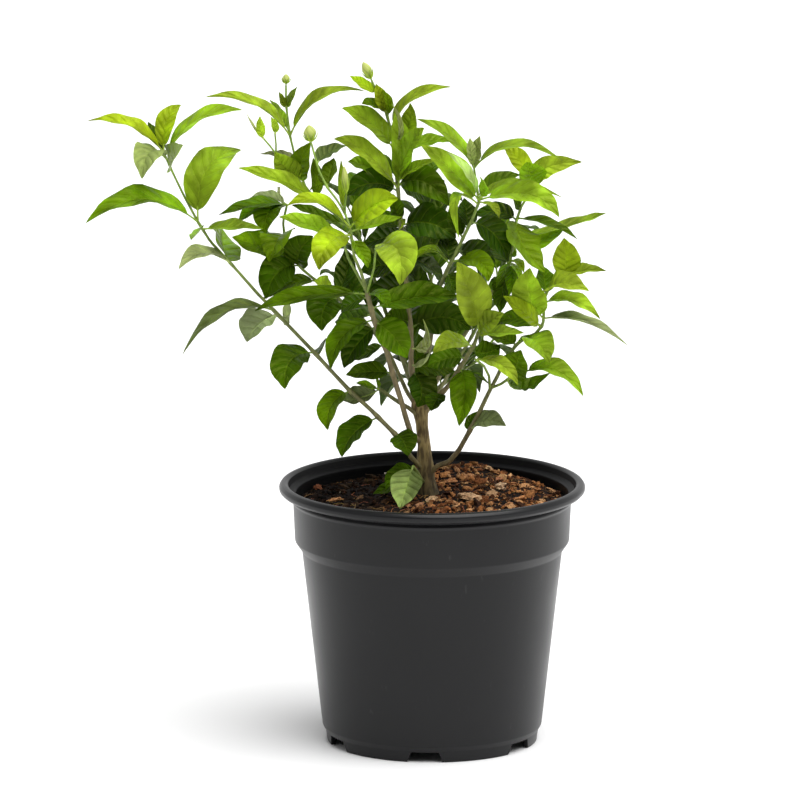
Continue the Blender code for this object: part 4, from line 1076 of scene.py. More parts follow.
    def _add_buds(self, stem: LeafyStem) -> None:
        """Set each bud just clear of the end of its branch."""
        for count, bud in enumerate(stem.buds):
            path = self.stems[stem.name][bud.branch]
            depth = stem.branches[bud.branch].route[-1][2] * GROWTH.depth_spread
            tip = VIEW.point(*bud.tip, depth)
            start = path.points[-1] + (path.points[-1] - path.points[-2]).normalized() * GROWTH.joint_gap * MM
            start += (tip - start).normalized() * GROWTH.bud_gap * MM
            name = stem.name.replace("leafy_stem", "flower_bud") + "_" + str(count + 1)
            self.buds[name] = (start, tip, bud.width * 0.5 * VIEW.mm_per_pixel * MM)

    def _nearest_on_stem(self, name: str, place: Pixel) -> Vector:
        """Return the point of the stem's centre line nearest to a pixel, as it is seen."""
        sight = (VIEW.point(*place, 0.0) - VIEW.eye).normalized()
        best = (math.inf, Vector())
        for path in self.stems[name]:
            for start, end in zip(path.points, path.points[1:]):
                for step in range(self.SIGHT_STEPS + 1):
                    point = start.lerp(end, step / self.SIGHT_STEPS)
                    ray = point - VIEW.eye
                    off = (ray - sight * ray.dot(sight)).length
                    if off < best[0]:
                        best = (off, point)
        return best[1]

    def _is_clear(self, leaf: LeafShape, own: str) -> bool:
        """Tell whether the leaf misses everything but its own node."""
        points, faces = coarse_blade(leaf, GROWTH.clear_margin)
        shape = BVHTree.FromPolygons(points, faces)
        if any(name != own and shape.overlap(tree) for name, tree in self.solids):
            return False
        return all(point.z > GROWTH.floor_margin * MM for point in points)

    def _crossings(self, leaf: LeafShape, own: str) -> int:
        """Count the leaves of its own node that the outer part of this one crosses."""
        shape = self._outer_blade(leaf, GROWTH.own_margin)
        return sum(1 for other in self.own_blades.get(own, []) if shape.overlap(other))

    @staticmethod
    def _outer_blade(leaf: LeafShape, margin: float = 0.0) -> BVHTree:
        """Return a search tree over the leaf without its stalk."""
        points, faces = coarse_blade(leaf, margin)
        return BVHTree.FromPolygons(points, [face for face in faces if min(face) >= STALK_POINTS])

    def _accept(self, leaf: LeafShape, own: str) -> None:
        """Keep the leaf and make the later ones avoid it."""
        self.leaves[own].append(leaf)
        self.solids.append((own, search_tree([coarse_blade(leaf)])))
        self.own_blades.setdefault(own, []).append(self._outer_blade(leaf))

    def _place_leaves(self, stem: LeafyStem) -> None:
        """Place each leaf read from the view, moved along the line of sight until it is clear."""
        self.leaves[stem.name] = []
        for row in stem.leaves:
            base = self._nearest_on_stem(stem.name, (row.base_across, row.base_down))
            best: tuple[float, LeafShape] | None = None
            for move in self._clear_moves():
                leaf = self._view_leaf(base, row, move)
                if not self._is_clear(leaf, stem.name):
                    continue
                middle, tip, turn = map(abs, move)
                crossed = self._crossings(leaf, stem.name) * self.CROSSING_COST
                cost = crossed + middle + tip * self.TIP_COST + turn * self.TURN_COST
                if best is None or cost < best[0]:
                    best = (cost, leaf)
                if best[0] < self.CROSSING_COST:
                    break
            if best is not None:
                self._accept(best[1], stem.name)

    @classmethod
    def _clear_moves(cls) -> list[tuple[float, float, float]]:
        """Return the moves tried in turn: millimetres nearer for middle and tip, and degrees of turn."""
        moves = [(0.0, 0.0, 0.0)]
        for size in cls.CLEAR_SIZES:
            for way in (size, -size):
                moves += [(0.0, way, 0.0), (way, way, 0.0), (way * 0.5, way, 0.0), (way, 0.0, 0.0)]
                moves += [(way * 0.7, way, turn) for turn in cls.CLEAR_TURNS]
        return moves

    @staticmethod
    def _view_leaf(base: Vector, row: LeafRow, move: tuple[float, float, float]) -> LeafShape:
        """Return the leaf of a row, with its middle and tip moved nearer and its face turned.

        Args:
            base: Where it grows from.
            row: The leaf as it is read from the view.
            move: Millimetres nearer for its middle and its tip, and degrees that its face is turned.

        Returns:
            The leaf.
        """
        depth = -base.y / MM
        middle_depth = depth + row.middle_nearer * GROWTH.depth_spread + move[0]
        tip_depth = depth + row.tip_nearer * GROWTH.depth_spread + move[1]
        middle = VIEW.point(row.middle_across, row.middle_down, middle_depth)
        tip = VIEW.point(row.tip_across, row.tip_down, tip_depth)
        along = Vector(((tip - base).x, (tip - base).dot(VIEW.upward)))
        across = Vector((-along.y, along.x)).normalized()
        if across.y < 0:
            across = -across
        face = math.radians(row.turn + move[2])
        turned_up = Vector((across.x, 0, 0)) + VIEW.upward * across.y
        facing = turned_up * math.sin(face) - VIEW.forward * math.cos(face)
        middle -= facing * (row.width * VIEW.mm_per_pixel * MM * math.sin(GROWTH.fold) * GROWTH.fold_settling)
        width = row.width * GROWTH.blade_widening * VIEW.mm_per_pixel * MM
        return LeafShape(base, middle, tip, facing, width, row.tone)

    def _fill_leaves(self, stem: FillStem) -> None:
        """Set crossed pairs of leaves up a far stem, turned a little until each is clear."""
        self.leaves[stem.name] = []
        chance = random.Random(FILL.seed + len(stem.name))
        path = self.stems[stem.name][0]
        lengths = path.lengths
        for pair in range(stem.pairs + 1):
            share = FILL.first + (1.0 - FILL.first) * pair / stem.pairs
            length = lengths[-1] * share
            i = max(k for k in range(len(lengths) - 1) if lengths[k] <= length)
            start, end = path.points[i], path.points[i + 1]
            base = start.lerp(end, (length - lengths[i]) / (lengths[i + 1] - lengths[i]))
            along = (end - start).normalized()
            turn = math.pi * 0.5 * pair + chance.uniform(-FILL.turn_spread, FILL.turn_spread)
            size = stem.leaf_length * MM * chance.uniform(FILL.smallest, FILL.largest)
            size *= 1.0 - FILL.end_shrink * share**3
            lean = along * (FILL.low_lean + FILL.more_lean * share)
            for side_turn in (turn, turn + math.pi):
                for attempt in range(FILL.attempts):
                    leaf = self._far_leaf(base, along, side_turn, lean, size, attempt, chance)
                    if self._is_clear(leaf, stem.name) and self._crossings(leaf, stem.name) == 0:
                        self._accept(leaf, stem.name)
                        break

    @staticmethod
    def _far_leaf(
        base: Vector,
        along: Vector,
        turn: float,
        lean: Vector,
        size: float,
        attempt: int,
        chance: random.Random,
    ) -> LeafShape:
        """Return one leaf of a far stem, changed more with every attempt to find room for it.

        Args:
            base: Where it grows from.
            along: The way its stem runs there.
            turn: Its turn about the stem, in radians.
            lean: How it leans along the stem.
            size: Its length in metres at the first attempt.
            attempt: How many attempts came before.
            chance: Where the changes come from.

        Returns:
            The leaf.
        """
        angle = turn + chance.uniform(-1, 1) * FILL.turn_step * attempt
        reach = size * (1.0 - FILL.shrink_step * attempt)
        out = Matrix.Rotation(angle, 3, along) @ along.orthogonal().normalized()
        out = (out + lean + FILL.light).normalized()
        lift = FILL.lift + chance.uniform(-1, 1) * FILL.lift_step * attempt
        droop = FILL.droop + chance.uniform(-1, 1) * FILL.droop_step * attempt
        middle = base + out * reach * 0.5 + Vector((0, 0, lift * reach))
        tip = base + out * reach - Vector((0, 0, droop * reach))
        facing = Vector((0, 0, 1)) + Vector((out.x, out.y, 0)) * FILL.tilt
        return LeafShape(base, middle, tip, facing, reach * FILL.width, Tone.DARK, True)


class Signal:
    """A shader socket that takes part in arithmetic."""

    def __init__(self, graph: "Graph", socket: bpy.types.NodeSocket) -> None:
        """Wrap a socket of the graph."""
        self.graph = graph
        self.socket = socket

    def __add__(self, other: "Signal | float") -> "Signal":
        """Return the sum."""
        return self.graph.math("ADD", self, other)

    __radd__ = __add__

    def __sub__(self, other: "Signal | float") -> "Signal":
        """Return the difference."""
        return self.graph.math("SUBTRACT", self, other)

    def __mul__(self, other: "Signal | float") -> "Signal":
        """Return the product."""
        return self.graph.math("MULTIPLY", self, other)

    __rmul__ = __mul__

    def __abs__(self) -> "Signal":
        """Return the size without its sign."""
        return self.graph.math("ABSOLUTE", self)

    def fraction(self) -> "Signal":
        """Return the part after the decimal point."""
        return self.graph.math("FRACT", self)

    def most(self, other: "Signal | float") -> "Signal":
        """Return the larger of the two."""
        return self.graph.math("MAXIMUM", self, other)

    def step(self, low: float, high: float, start: float = 0.0, end: float = 1.0) -> "Signal":
        """Return a smooth change from start to end as this signal goes from low to high."""
        settings = {"interpolation_type": "SMOOTHSTEP"}
        inputs = {"Value": self, "From Min": low, "From Max": high, "To Min": start, "To Max": end}
        return self.graph.node("ShaderNodeMapRange", settings, inputs, "Result")


class Graph:
    """The shader nodes of a material or of the sky."""

    def __init__(self, owner: bpy.types.Material | bpy.types.World) -> None:
        """Clear the owner's nodes and build in their place."""
        self.owner = owner
        owner.use_nodes = True
        self.tree = owner.node_tree
        self.tree.nodes.clear()

    @classmethod
    def material(cls, name: str) -> "Graph":
        """Return the graph of a new material."""
        return cls(bpy.data.materials.new(name))

    def node(
        self,
        kind: str,
        settings: dict | None = None,
        inputs: dict | None = None,
        output: str | int = 0,
    ) -> Signal:
        """Add a node.

        Args:
            kind: The node's type name.
            settings: Values of its properties.
            inputs: Values or signals for its sockets, by name or number.
            output: The socket to return, by name or number.

        Returns:
            The signal of that output.
        """
        made = self.tree.nodes.new(kind)
        for key, value in (settings or {}).items():
            setattr(made, key, value)
        for key, value in (inputs or {}).items():
            if isinstance(value, Signal):
                self.tree.links.new(value.socket, made.inputs[key])
            else:
                made.inputs[key].default_value = value
        return Signal(self, made.outputs[output])

    def math(self, operation: str, *values: Signal | float) -> Signal:
        """Return the result of a sum on plain numbers."""
        return self.node("ShaderNodeMath", {"operation": operation}, dict(enumerate(values)))

    def mix(
        self,
        factor: Signal | float,
        first: Signal | Colour,
        second: Signal | Colour,
        blend: str = "MIX",
    ) -> Signal:
        """Return two colours mixed.

        Args:
            factor: How much of the second colour there is.
            first: The first colour.
            second: The second colour.
            blend: How they are mixed.

        Returns:
            The mixed colour.
        """
        first, second = (c if isinstance(c, Signal) else (*c, 1.0) for c in (first, second))
        settings = {"data_type": "RGBA", "blend_type": blend}
        return self.node("ShaderNodeMix", settings, {"Factor": factor, 6: first, 7: second}, 2)

    def scaled(self, colour: Signal, factor: Signal | float) -> Signal:
        """Return the colour made lighter or darker by a factor."""
        return self.node("ShaderNodeVectorMath", {"operation": "SCALE"}, {0: colour, "Scale": factor})

    def attribute(self, name: str) -> Signal:
        """Return a colour held at the mesh's points."""
        return self.node("ShaderNodeAttribute", {"attribute_name": name}, output="Color")

    def map_axes(self) -> tuple[Signal, Signal]:
        """Return how far along and across its own surface each point is."""
        split = self.node("ShaderNodeSeparateXYZ", inputs={0: self._map()})
        return split, Signal(self, split.socket.node.outputs[1])

    def _map(self) -> Signal:
        """Return each point's place on its own surface."""
        return self.node("ShaderNodeUVMap", {"uv_map": SURFACE_MAP})

    def map_noise(self, scale: tuple[float, float], detail: float = 3.0) -> Signal:
        """Return noise that follows the surface, with its own scale along and across."""
        return self._noise_at(self._map(), 1.0, detail, (*scale, 1.0))

    def noise(self, scale: float, detail: float = 3.0, stretch: Colour = (1.0, 1.0, 1.0)) -> Signal:
        """Return noise fixed in the piece.

        Args:
            scale: How many features there are in a metre.
            detail: How many finer layers it has.
            stretch: How much denser it is along each axis.

        Returns:
            A signal from 0 to 1.
        """
        return self._noise_at(self.node("ShaderNodeTexCoord", output="Object"), scale, detail, stretch)

    def _noise_at(self, place: Signal, scale: float, detail: float, stretch: Colour) -> Signal:
        """Return noise that changes with a place stretched along its axes."""
        stretched = self.node("ShaderNodeVectorMath", {"operation": "MULTIPLY"}, {0: place, 1: stretch})
        return self.node("ShaderNodeTexNoise", inputs={"Vector": stretched, "Scale": scale, "Detail": detail})

    def bump(self, height: Signal, depth: float, strength: float = 1.0) -> Signal:
        """Return a surface direction roughened by a height, in millimetres where it is 1."""
        inputs = {"Height": height, "Distance": depth * MM, "Strength": strength}
        return self.node("ShaderNodeBump", inputs=inputs)

    def surface(self, inputs: dict) -> Signal:
        """Return a Principled shader."""
        return self.node("ShaderNodeBsdfPrincipled", inputs=inputs)

    def blend_shaders(self, share: float, first: Signal, second: Signal) -> Signal:
        """Return two shaders mixed, with this share of the second."""
        return self.node("ShaderNodeMixShader", inputs={0: share, 1: first, 2: second})

    def finish(
        self, shader: Signal, output: str = "ShaderNodeOutputMaterial"
    ) -> bpy.types.Material | bpy.types.World:
        """Send the shader to the output node and return the material or the sky."""
        end = self.tree.nodes.new(output)
        self.tree.links.new(shader.socket, end.inputs["Surface"])
        return self.owner


@dataclass(frozen=True)
class LeafFinish:
    """A leaf's face: waxy above and matt below, with pale veins, light passing through and painted shade on
    one half of its fold.
    """

    name: str
    roughness: float
    translucency: float
    vein_lift: float
    greyness: float = 0.0
    grey: Colour = (0.42, 0.46, 0.34)
    midrib_edge: tuple[float, float] = (0.015, 0.075)
    vein_pairs: float = 6.0
    vein_slant: float = 0.2
    vein_stagger: float = 0.45
    vein_edge: float = 0.085
    vein_end: float = 0.75
    vein_colour: Colour = (0.42, 0.56, 0.04)
    fold_painted_shades: tuple[float, float] = (0.88, 1.08)
    mottle: tuple[float, float] = (0.74, 1.2)
    blotches: tuple[float, float] = (0.7, 1.22)
    cells: tuple[float, float] = (26.0, 10.0)
    relief: float = 0.95
    gloss: float = 0.38
    sheen: Colour = (0.90, 1.0, 0.16)
    glow: float = 1.4

    def build(self) -> bpy.types.Material:
        """Build the material."""
        graph = Graph.material(self.name)
        along, across = graph.map_axes()
        side = abs(across * 2.0 - 1.0)
        midrib = side.step(*self.midrib_edge, 1.0, 0.0)
        stagger = across.step(0.49, 0.51, 0.0, self.vein_stagger)
        between = abs(((along - side * self.vein_slant) * self.vein_pairs + stagger).fraction() - 0.5)
        lateral = between.step(0.0, self.vein_edge, 1.0, 0.0) * side.step(self.vein_end, 1.0, 1.0, 0.0)
        veins = midrib.most(lateral * 0.75)
        mottle = graph.noise(90.0, 4.0)
        blotches = graph.noise(34.0, 2.0)
        # Painted shade on one half of the blade and painted light on the other, as light falls across its
        # fold.
        tint = graph.scaled(graph.attribute(TINT), across.step(0.45, 0.55, *self.fold_painted_shades))
        tint = graph.mix(self.greyness, tint, self.grey)
        pale = graph.mix(0.3, graph.scaled(tint, 1.6), self.vein_colour)
        base = graph.mix(veins * self.vein_lift, tint, pale)
        light = mottle.step(0.3, 0.7, *self.mottle) * blotches.step(0.34, 0.64, *self.blotches)
        base = graph.scaled(base, light)
        cells = graph.map_noise(self.cells, 5.0)
        height = between.step(0.0, 0.4) * 0.8 - veins * 0.5 + cells * 0.5
        normal = graph.bump(height, self.relief, 0.7)
        face = graph.surface(
            {
                "Base Color": base,
                "Roughness": mottle.step(0.2, 0.8, self.roughness - 0.06, self.roughness + 0.1),
                "Normal": normal,
                "Specular IOR Level": self.gloss,
                "Specular Tint": (*self.sheen, 1.0),
            }
        )
        inputs = {"Color": graph.scaled(base, self.glow), "Normal": normal}
        through = graph.node("ShaderNodeBsdfTranslucent", inputs=inputs)
        return graph.finish(graph.blend_shaders(self.translucency, face, through))


@dataclass(frozen=True)
class StemFinish:
    """Young green to woody brown stem skin, whose colour is held in the mesh."""

    name: str
    roughness: float = 0.58

    def build(self) -> bpy.types.Material:
        """Build the material."""
        graph = Graph.material(self.name)
        streaks = graph.noise(420.0, 4.0, (1.0, 1.0, 0.35))
        base = graph.scaled(graph.attribute(TINT), streaks.step(0.25, 0.75, 0.66, 1.32))
        inputs = {"Base Color": base, "Roughness": self.roughness, "Normal": graph.bump(streaks, 0.35, 0.6)}
        return graph.finish(graph.surface(inputs))


@dataclass(frozen=True)
class BarkFinish:
    """The trunk's bark: grey-brown, with upright cracks and paler ridges."""

    name: str
    dark: Colour
    middle: Colour
    light: Colour
    roughness: float = 0.86

    def build(self) -> bpy.types.Material:
        """Build the material."""
        graph = Graph.material(self.name)
        cracks = graph.noise(520.0, 5.0, (1.0, 1.0, 0.22))
        patches = graph.noise(70.0, 3.0)
        base = graph.mix(cracks.step(0.36, 0.62), self.dark, self.middle)
        base = graph.mix(patches.step(0.45, 0.75) * cracks.step(0.4, 0.8), base, self.light)
        base = graph.mix(1.0, base, graph.attribute(TINT), "MULTIPLY")
        grains = graph.noise(1500.0, 3.0)
        normal = graph.bump(cracks + grains * 0.3, 1.0, 0.8)
        inputs = {"Base Color": base, "Roughness": self.roughness, "Normal": normal}
        return graph.finish(graph.surface(inputs))


@dataclass(frozen=True)
class SoilFinish:
    """Potting mix: colour held in the mesh, broken up by fibres and dust."""

    name: str
    shade: Colour = (0.90, 0.79, 0.72)
    roughness: float = 0.95
    gloss: float = 0.2

    def build(self) -> bpy.types.Material:
        """Build the material."""
        graph = Graph.material(self.name)
        grains = graph.noise(900.0, 5.0)
        flecks = graph.noise(2600.0, 3.0)
        base = graph.mix(1.0, graph.attribute(TINT), self.shade, "MULTIPLY")
        base = graph.scaled(base, grains.step(0.3, 0.72, 0.5, 1.45))
        base = graph.mix(flecks.step(0.62, 0.75, 0.0, 0.6), base, graph.scaled(base, 2.4))
        normal = graph.bump(grains + flecks * 0.5, 0.9, 0.8)
        inputs = {"Base Color": base, "Roughness": self.roughness, "Normal": normal}
        return graph.finish(graph.surface(inputs | {"Specular IOR Level": self.gloss}))


@dataclass(frozen=True)
class PlasticFinish:
    """Dark moulded plastic with a soft sheen and a faint bloom of dust."""

    name: str
    colour: Colour
    roughness: float
    gloss: float
    dust: Colour = (0.12, 0.12, 0.12)

    def build(self) -> bpy.types.Material:
        """Build the material."""
        graph = Graph.material(self.name)
        cloud = graph.noise(14.0, 4.0)
        grain = graph.noise(2400.0, 2.0)
        scuffs = graph.noise(260.0, 5.0, (1.0, 1.0, 0.3))
        worn = scuffs.step(0.66, 0.8, 0.0, 0.12)
        base = graph.mix(worn, self.colour, self.dust)
        roughness = cloud.step(0.3, 0.7, self.roughness - 0.05, self.roughness + 0.06)
        normal = graph.bump(grain * 0.6 + scuffs * 0.4, 0.06, 0.35)
        inputs = {"Base Color": base, "Roughness": roughness, "Normal": normal}
        return graph.finish(graph.surface(inputs | {"Specular IOR Level": self.gloss}))


@dataclass(frozen=True)
class BudFinish:
    """A bud's petals: green at the foot and cream towards the tip."""

    name: str
    foot: Colour
    tip: Colour
    folds: float = 5.0
    twist: float = 1.2
    roughness: float = 0.5
    translucency: float = 0.2

    def build(self) -> bpy.types.Material:
        """Build the material."""
        graph = Graph.material(self.name)
        along, across = graph.map_axes()
        folds = abs((across * self.folds + along * self.twist).fraction() - 0.5)
        base = graph.mix(along.step(0.08, 0.75), self.foot, self.tip)
        base = graph.scaled(base, folds.step(0.0, 0.25, 0.86, 1.06))
        normal = graph.bump(folds.step(0.0, 0.2), 0.4, 0.6)
        petals = graph.surface({"Base Color": base, "Roughness": self.roughness, "Normal": normal})
        glow = graph.node("ShaderNodeBsdfTranslucent", inputs={"Color": base})
        return graph.finish(graph.blend_shaders(self.translucency, petals, glow))


@dataclass(frozen=True)
class PlainFinish:
    """One flat colour, for the studio floor."""

    name: str
    colour: Colour
    roughness: float

    def build(self) -> bpy.types.Material:
        """Build the material."""
        graph = Graph.material(self.name)
        return graph.finish(graph.surface({"Base Color": (*self.colour, 1.0), "Roughness": self.roughness}))


def set_out(name: str, data: bpy.types.ID) -> bpy.types.Object:
    """Return a new object in the scene that shows this mesh, lamp or camera."""
    made = bpy.data.objects.new(name, data)
    bpy.context.scene.collection.objects.link(made)
    return made


def mesh_of(name: str, points: Sequence, faces: Faces) -> bpy.types.Mesh:
    """Return a new mesh."""
    mesh = bpy.data.meshes.new(name)
    mesh.from_pydata(points, [], faces)
    return mesh


def held(value: float) -> float:
    """Return the value held between 0 and 1."""
    return min(1.0, max(0.0, value))


class Piece:
    """Gathers the points and faces of one piece, with their finishes, map positions and tints."""

    def __init__(self, name: str, slot: Slot, finishes: Sequence[bpy.types.Material]) -> None:
        """Start an empty piece.

        Args:
            name: The object's name.
            slot: The record's slot that it takes its finish from.
            finishes: Its materials, which faces choose by number.
        """
        self.name = name
        self.slot = slot
        self.finishes = finishes
        self.points: list[np.ndarray] = []
        self.maps: list[np.ndarray] = []
        self.tints: list[np.ndarray] = []
        self.faces: Faces = []
        self.choices: list[int] = []
        self.count = 0

    def add(
        self,
        points: Sequence[Vector] | np.ndarray,
        faces: Iterable,
        tint: Colour | Sequence[Colour],
        finish: int = 0,
        maps: Sequence | np.ndarray | None = None,
    ) -> None:
        """Add a shape.

        Args:
            points: Its points, with the pot's axis at the origin.
            faces: Its faces, as numbers of its own points.
            tint: Its colour, or one for each point.
            finish: The number of its material.
            maps: A map position for each point, or None.
        """
        where = np.array([tuple(point) for point in points] if not isinstance(points, np.ndarray) else points)
        self.points.append(where)
        self.maps.append(np.zeros((len(where), 2)) if maps is None else np.asarray(maps, float))
        self.tints.append(np.broadcast_to(np.asarray(tint, float), (len(where), 3)))
        before = len(self.faces)
        self.faces += [tuple(int(i) + self.count for i in face) for face in faces]
        self.choices += [finish] * (len(self.faces) - before)
        self.count += len(where)

    def build(self, axis: Vector, sharp: float) -> bpy.types.Object:
        """Make the object.

        Args:
            axis: Where the pot's axis meets the ground in the shared frame.
            sharp: Degrees over which an edge stays sharp.

        Returns:
            The object, which rides on the part's one body.
        """
        mesh = mesh_of(self.name, (np.concatenate(self.points) + np.array(axis)).tolist(), self.faces)
        for finish in self.finishes:
            mesh.materials.append(finish)
        mesh.polygons.foreach_set("material_index", self.choices)
        corners = np.zeros(len(mesh.loops), np.int32)
        mesh.loops.foreach_get("vertex_index", corners)
        layer = mesh.uv_layers.new(name=SURFACE_MAP)
        layer.data.foreach_set("uv", np.concatenate(self.maps)[corners].astype(np.float32).ravel())
        tints = np.column_stack([np.concatenate(self.tints), np.ones(self.count)])
        colours = mesh.attributes.new(TINT, "FLOAT_COLOR", "POINT")
        colours.data.foreach_set("color", tints.astype(np.float32).ravel())
        mesh.polygons.foreach_set("use_smooth", [True] * len(mesh.polygons))
        mesh.set_sharp_from_angle(angle=math.radians(sharp))
        mesh.update()
        made = set_out(self.name, mesh)
        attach(made, "root")
        log.info("%s: %d faces", self.name, len(mesh.polygons))
        return made


@dataclass(frozen=True)
class LeafModel:
    """Makes the fine form of one leaf: a folded, waved blade on a stalk that runs on as its midrib.

    Thicknesses, radii and widths are in millimetres. The drip tip is the narrowing just before a blade's end.
    """

    ABOVE = 1
    BELOW = 2

    along: int = 18
    across: int = 10
    half_thickness: float = 0.17
    rim_thickness: float = 0.07
    stalk_sides: int = 6
    fold_spread: float = math.radians(4.0)
    arch: float = 0.45
    wave: float = 0.12
    light: tuple[float, float] = (0.88, 1.12)
    warmth: tuple[float, float] = (0.93, 1.07)
    even_rows: float = 0.45
    end_rows: float = 0.55
    drip_tip: float = 0.2
    drip_place: float = 0.91
    drip_reach: float = 0.06
    least_half_width: float = 0.12
    rib_stops: tuple[float, ...] = (0.0, 0.04, GROWTH.stalk_share, 0.16, 0.3, 0.45, 0.6, 0.75, 0.86)
    rib_radius: float = 0.72
    rib_taper: float = 0.58
    rib_sink: float = 0.75
    rib_green: Colour = (0.30, 0.42, 0.06)
    rib_green_share: float = 0.45

    def add_to(self, piece: Piece, leaf: LeafShape, chance: random.Random) -> None:
        """Add the leaf to its stem's piece.

        Args:
            piece: The piece, whose materials are stem, leaf above and leaf below.
            leaf: The leaf.
            chance: Where its small differences come from.
        """
        light = chance.uniform(*self.light)
        warm = chance.uniform(*self.warmth)
        red, green, blue = leaf.tone.value
        tint = (red * light * warm, green * light, blue * light)
        self._add_blade(piece, leaf, chance, tint)
        self._add_stalk(piece, leaf, tint)

    def _add_blade(self, piece: Piece, leaf: LeafShape, chance: random.Random, tint: Colour) -> None:
        """Add the blade as a thin closed shell."""
        rows, columns = self.along + 1, self.across + 1
        even = np.linspace(0.0, 1.0, rows)
        shares = self.even_rows * even + self.end_rows * (0.5 - 0.5 * np.cos(np.pi * even))
        frames = leaf.frames(GROWTH.stalk_share + (1 - GROWTH.stalk_share) * shares)
        centre, side, upper = (np.array([tuple(frame[k]) for frame in frames])[:, None, :] for k in range(3))
        half = np.array([leaf.width * 0.5 * blade_width(float(u)) for u in shares])
        half *= 1.0 - self.drip_tip * np.exp(-(((shares - self.drip_place) / self.drip_reach) ** 2))
        half = np.maximum(half, self.least_half_width * MM)
        v = np.linspace(-1.0, 1.0, columns)[None, :]
        reach = np.abs(v)
        fold = GROWTH.fold + chance.uniform(-1, 1) * self.fold_spread
        arch = self.arch * chance.uniform(0.6, 1.3)
        waves = chance.uniform(1.6, 2.9)
        phases = np.where(v < 0, chance.uniform(0, math.tau), chance.uniform(0, math.tau))
        ripple = np.sin(math.tau * waves * shares[:, None] + phases) * np.sin(np.pi * shares[:, None]) ** 0.5
        half = half[:, None]
        lift = half * math.sin(fold) * ((1 + arch) * reach - arch * reach**2)
        lift = lift + leaf.width * self.wave * 0.5 * ripple * reach**2 * (half / half.max())
        spread = half * math.cos(fold) * v
        thick = (self.half_thickness - (self.half_thickness - self.rim_thickness) * reach**4) * MM
        grid = centre + side * spread[..., None]
        top = grid + upper * (lift + thick)[..., None]
        under = grid + upper * (lift - thick)[..., None]
        maps = np.stack(np.broadcast_arrays(shares[:, None], v * 0.5 + 0.5), axis=-1).reshape(-1, 2)
        count = rows * columns
        corners = [i * columns + j for i in range(self.along) for j in range(self.across)]
        faces_up = [(k, k + 1, k + columns + 1, k + columns) for k in corners]
        faces_down = [tuple(reversed([k + count for k in face])) for face in faces_up]
        ring = list(range(columns)) + [i * columns + self.across for i in range(1, rows)]
        ring += [self.along * columns + j for j in range(self.across - 1, -1, -1)]
        ring += [i * columns for i in range(self.along - 1, 0, -1)]
        rim = [(b, a, a + count, b + count) for a, b in zip(ring, ring[1:] + ring[:1])]
        points = np.concatenate([top.reshape(-1, 3), under.reshape(-1, 3)])
        piece.add(points, faces_up + rim + faces_down, tint, self.ABOVE, np.concatenate([maps, maps]))
        piece.choices[-len(faces_down) :] = [self.BELOW] * len(faces_down)

    def _add_stalk(self, piece: Piece, leaf: LeafShape, tint: Colour) -> None:
        """Add the stalk, which runs on under the blade as a tapering midrib."""
        points = []
        radii = []
        for share, (centre, _, upper) in zip(self.rib_stops, leaf.frames(self.rib_stops)):
            radius = (self.rib_radius - self.rib_taper * (share / self.rib_stops[-1]) ** 0.6) * MM
            sink = 0.0 if share <= GROWTH.stalk_share else radius * self.rib_sink
            points.append(centre - upper * sink)
            radii.append(radius)
        outline = Path(points, radii).tube(self.stalk_sides)
        share = self.rib_green_share
        pale = tuple((1 - share) * own + share * green for own, green in zip(tint, self.rib_green))
        piece.add(*outline, pale)


@dataclass(frozen=True)
class StemModel:
    """Makes the fine form of stems: thicker where leaves join, green when thin and woody when thick.

    Steps, reaches and radii are in millimetres, and the farthest swelling is in reaches.
    """

    sides: int = 12
    step: float = 3.0
    swelling: float = 0.28
    swelling_reach: float = 2.2
    farthest_swelling: float = 2.5
    roughness: float = 0.08
    roughness_density: float = 180.0
    thin: float = 0.8
    thick_after: float = 0.4
    woody_after: float = 0.75
    thin_share: float = 0.86
    thick_share: float = 1.0
    end_share: float = 0.75
    green: Colour = (0.19, 0.30, 0.03)
    olive: Colour = (0.15, 0.165, 0.045)
    woody: Colour = (0.20, 0.155, 0.070)

    def add_to(self, piece: Piece, path: Path, leaves: Sequence[LeafShape], chance: random.Random) -> None:
        """Add one branch to its stem's piece.

        Args:
            piece: The piece.
            path: The branch's line.
            leaves: The node's leaves, which swell the stem where they join it.
            chance: Where its small differences come from.
        """
        length = path.lengths[-1]
        stops = max(3, int(length / (self.step * MM)))
        found = [path.at(length * i / stops) for i in range(stops + 1)]
        points = [point for point, _ in found]
        radii = []
        wobble = chance.uniform(0, 100)
        for point, radius in found:
            swell = 0.0
            for leaf in leaves:
                off = (leaf.base - point).length / (self.swelling_reach * MM)
                if off < self.farthest_swelling:
                    swell = max(swell, math.exp(-off * off))
            rough = noise.noise(Vector((wobble, point.z * self.roughness_density, 0))) * self.roughness
            thick = held((radius / MM - self.thin) / self.thick_after)
            share = self.thin_share + (self.thick_share - self.thin_share) * thick
            radii.append(radius * share * (1 + self.swelling * swell + rough))
        radii[-1] *= self.end_share
        tints = [self._tint(radius) for _, radius in found for _ in range(self.sides)]
        piece.add(*Path(points, radii).tube(self.sides), tints)

    def _tint(self, radius: float) -> Colour:
        """Return the skin's colour where the stem has this radius."""
        age = held((radius / MM - self.thin) / self.woody_after) * 2
        young = age < 1
        first, second = (self.green, self.olive) if young else (self.olive, self.woody)
        share = age if young else age - 1
        return tuple(a + (b - a) * share for a, b in zip(first, second))


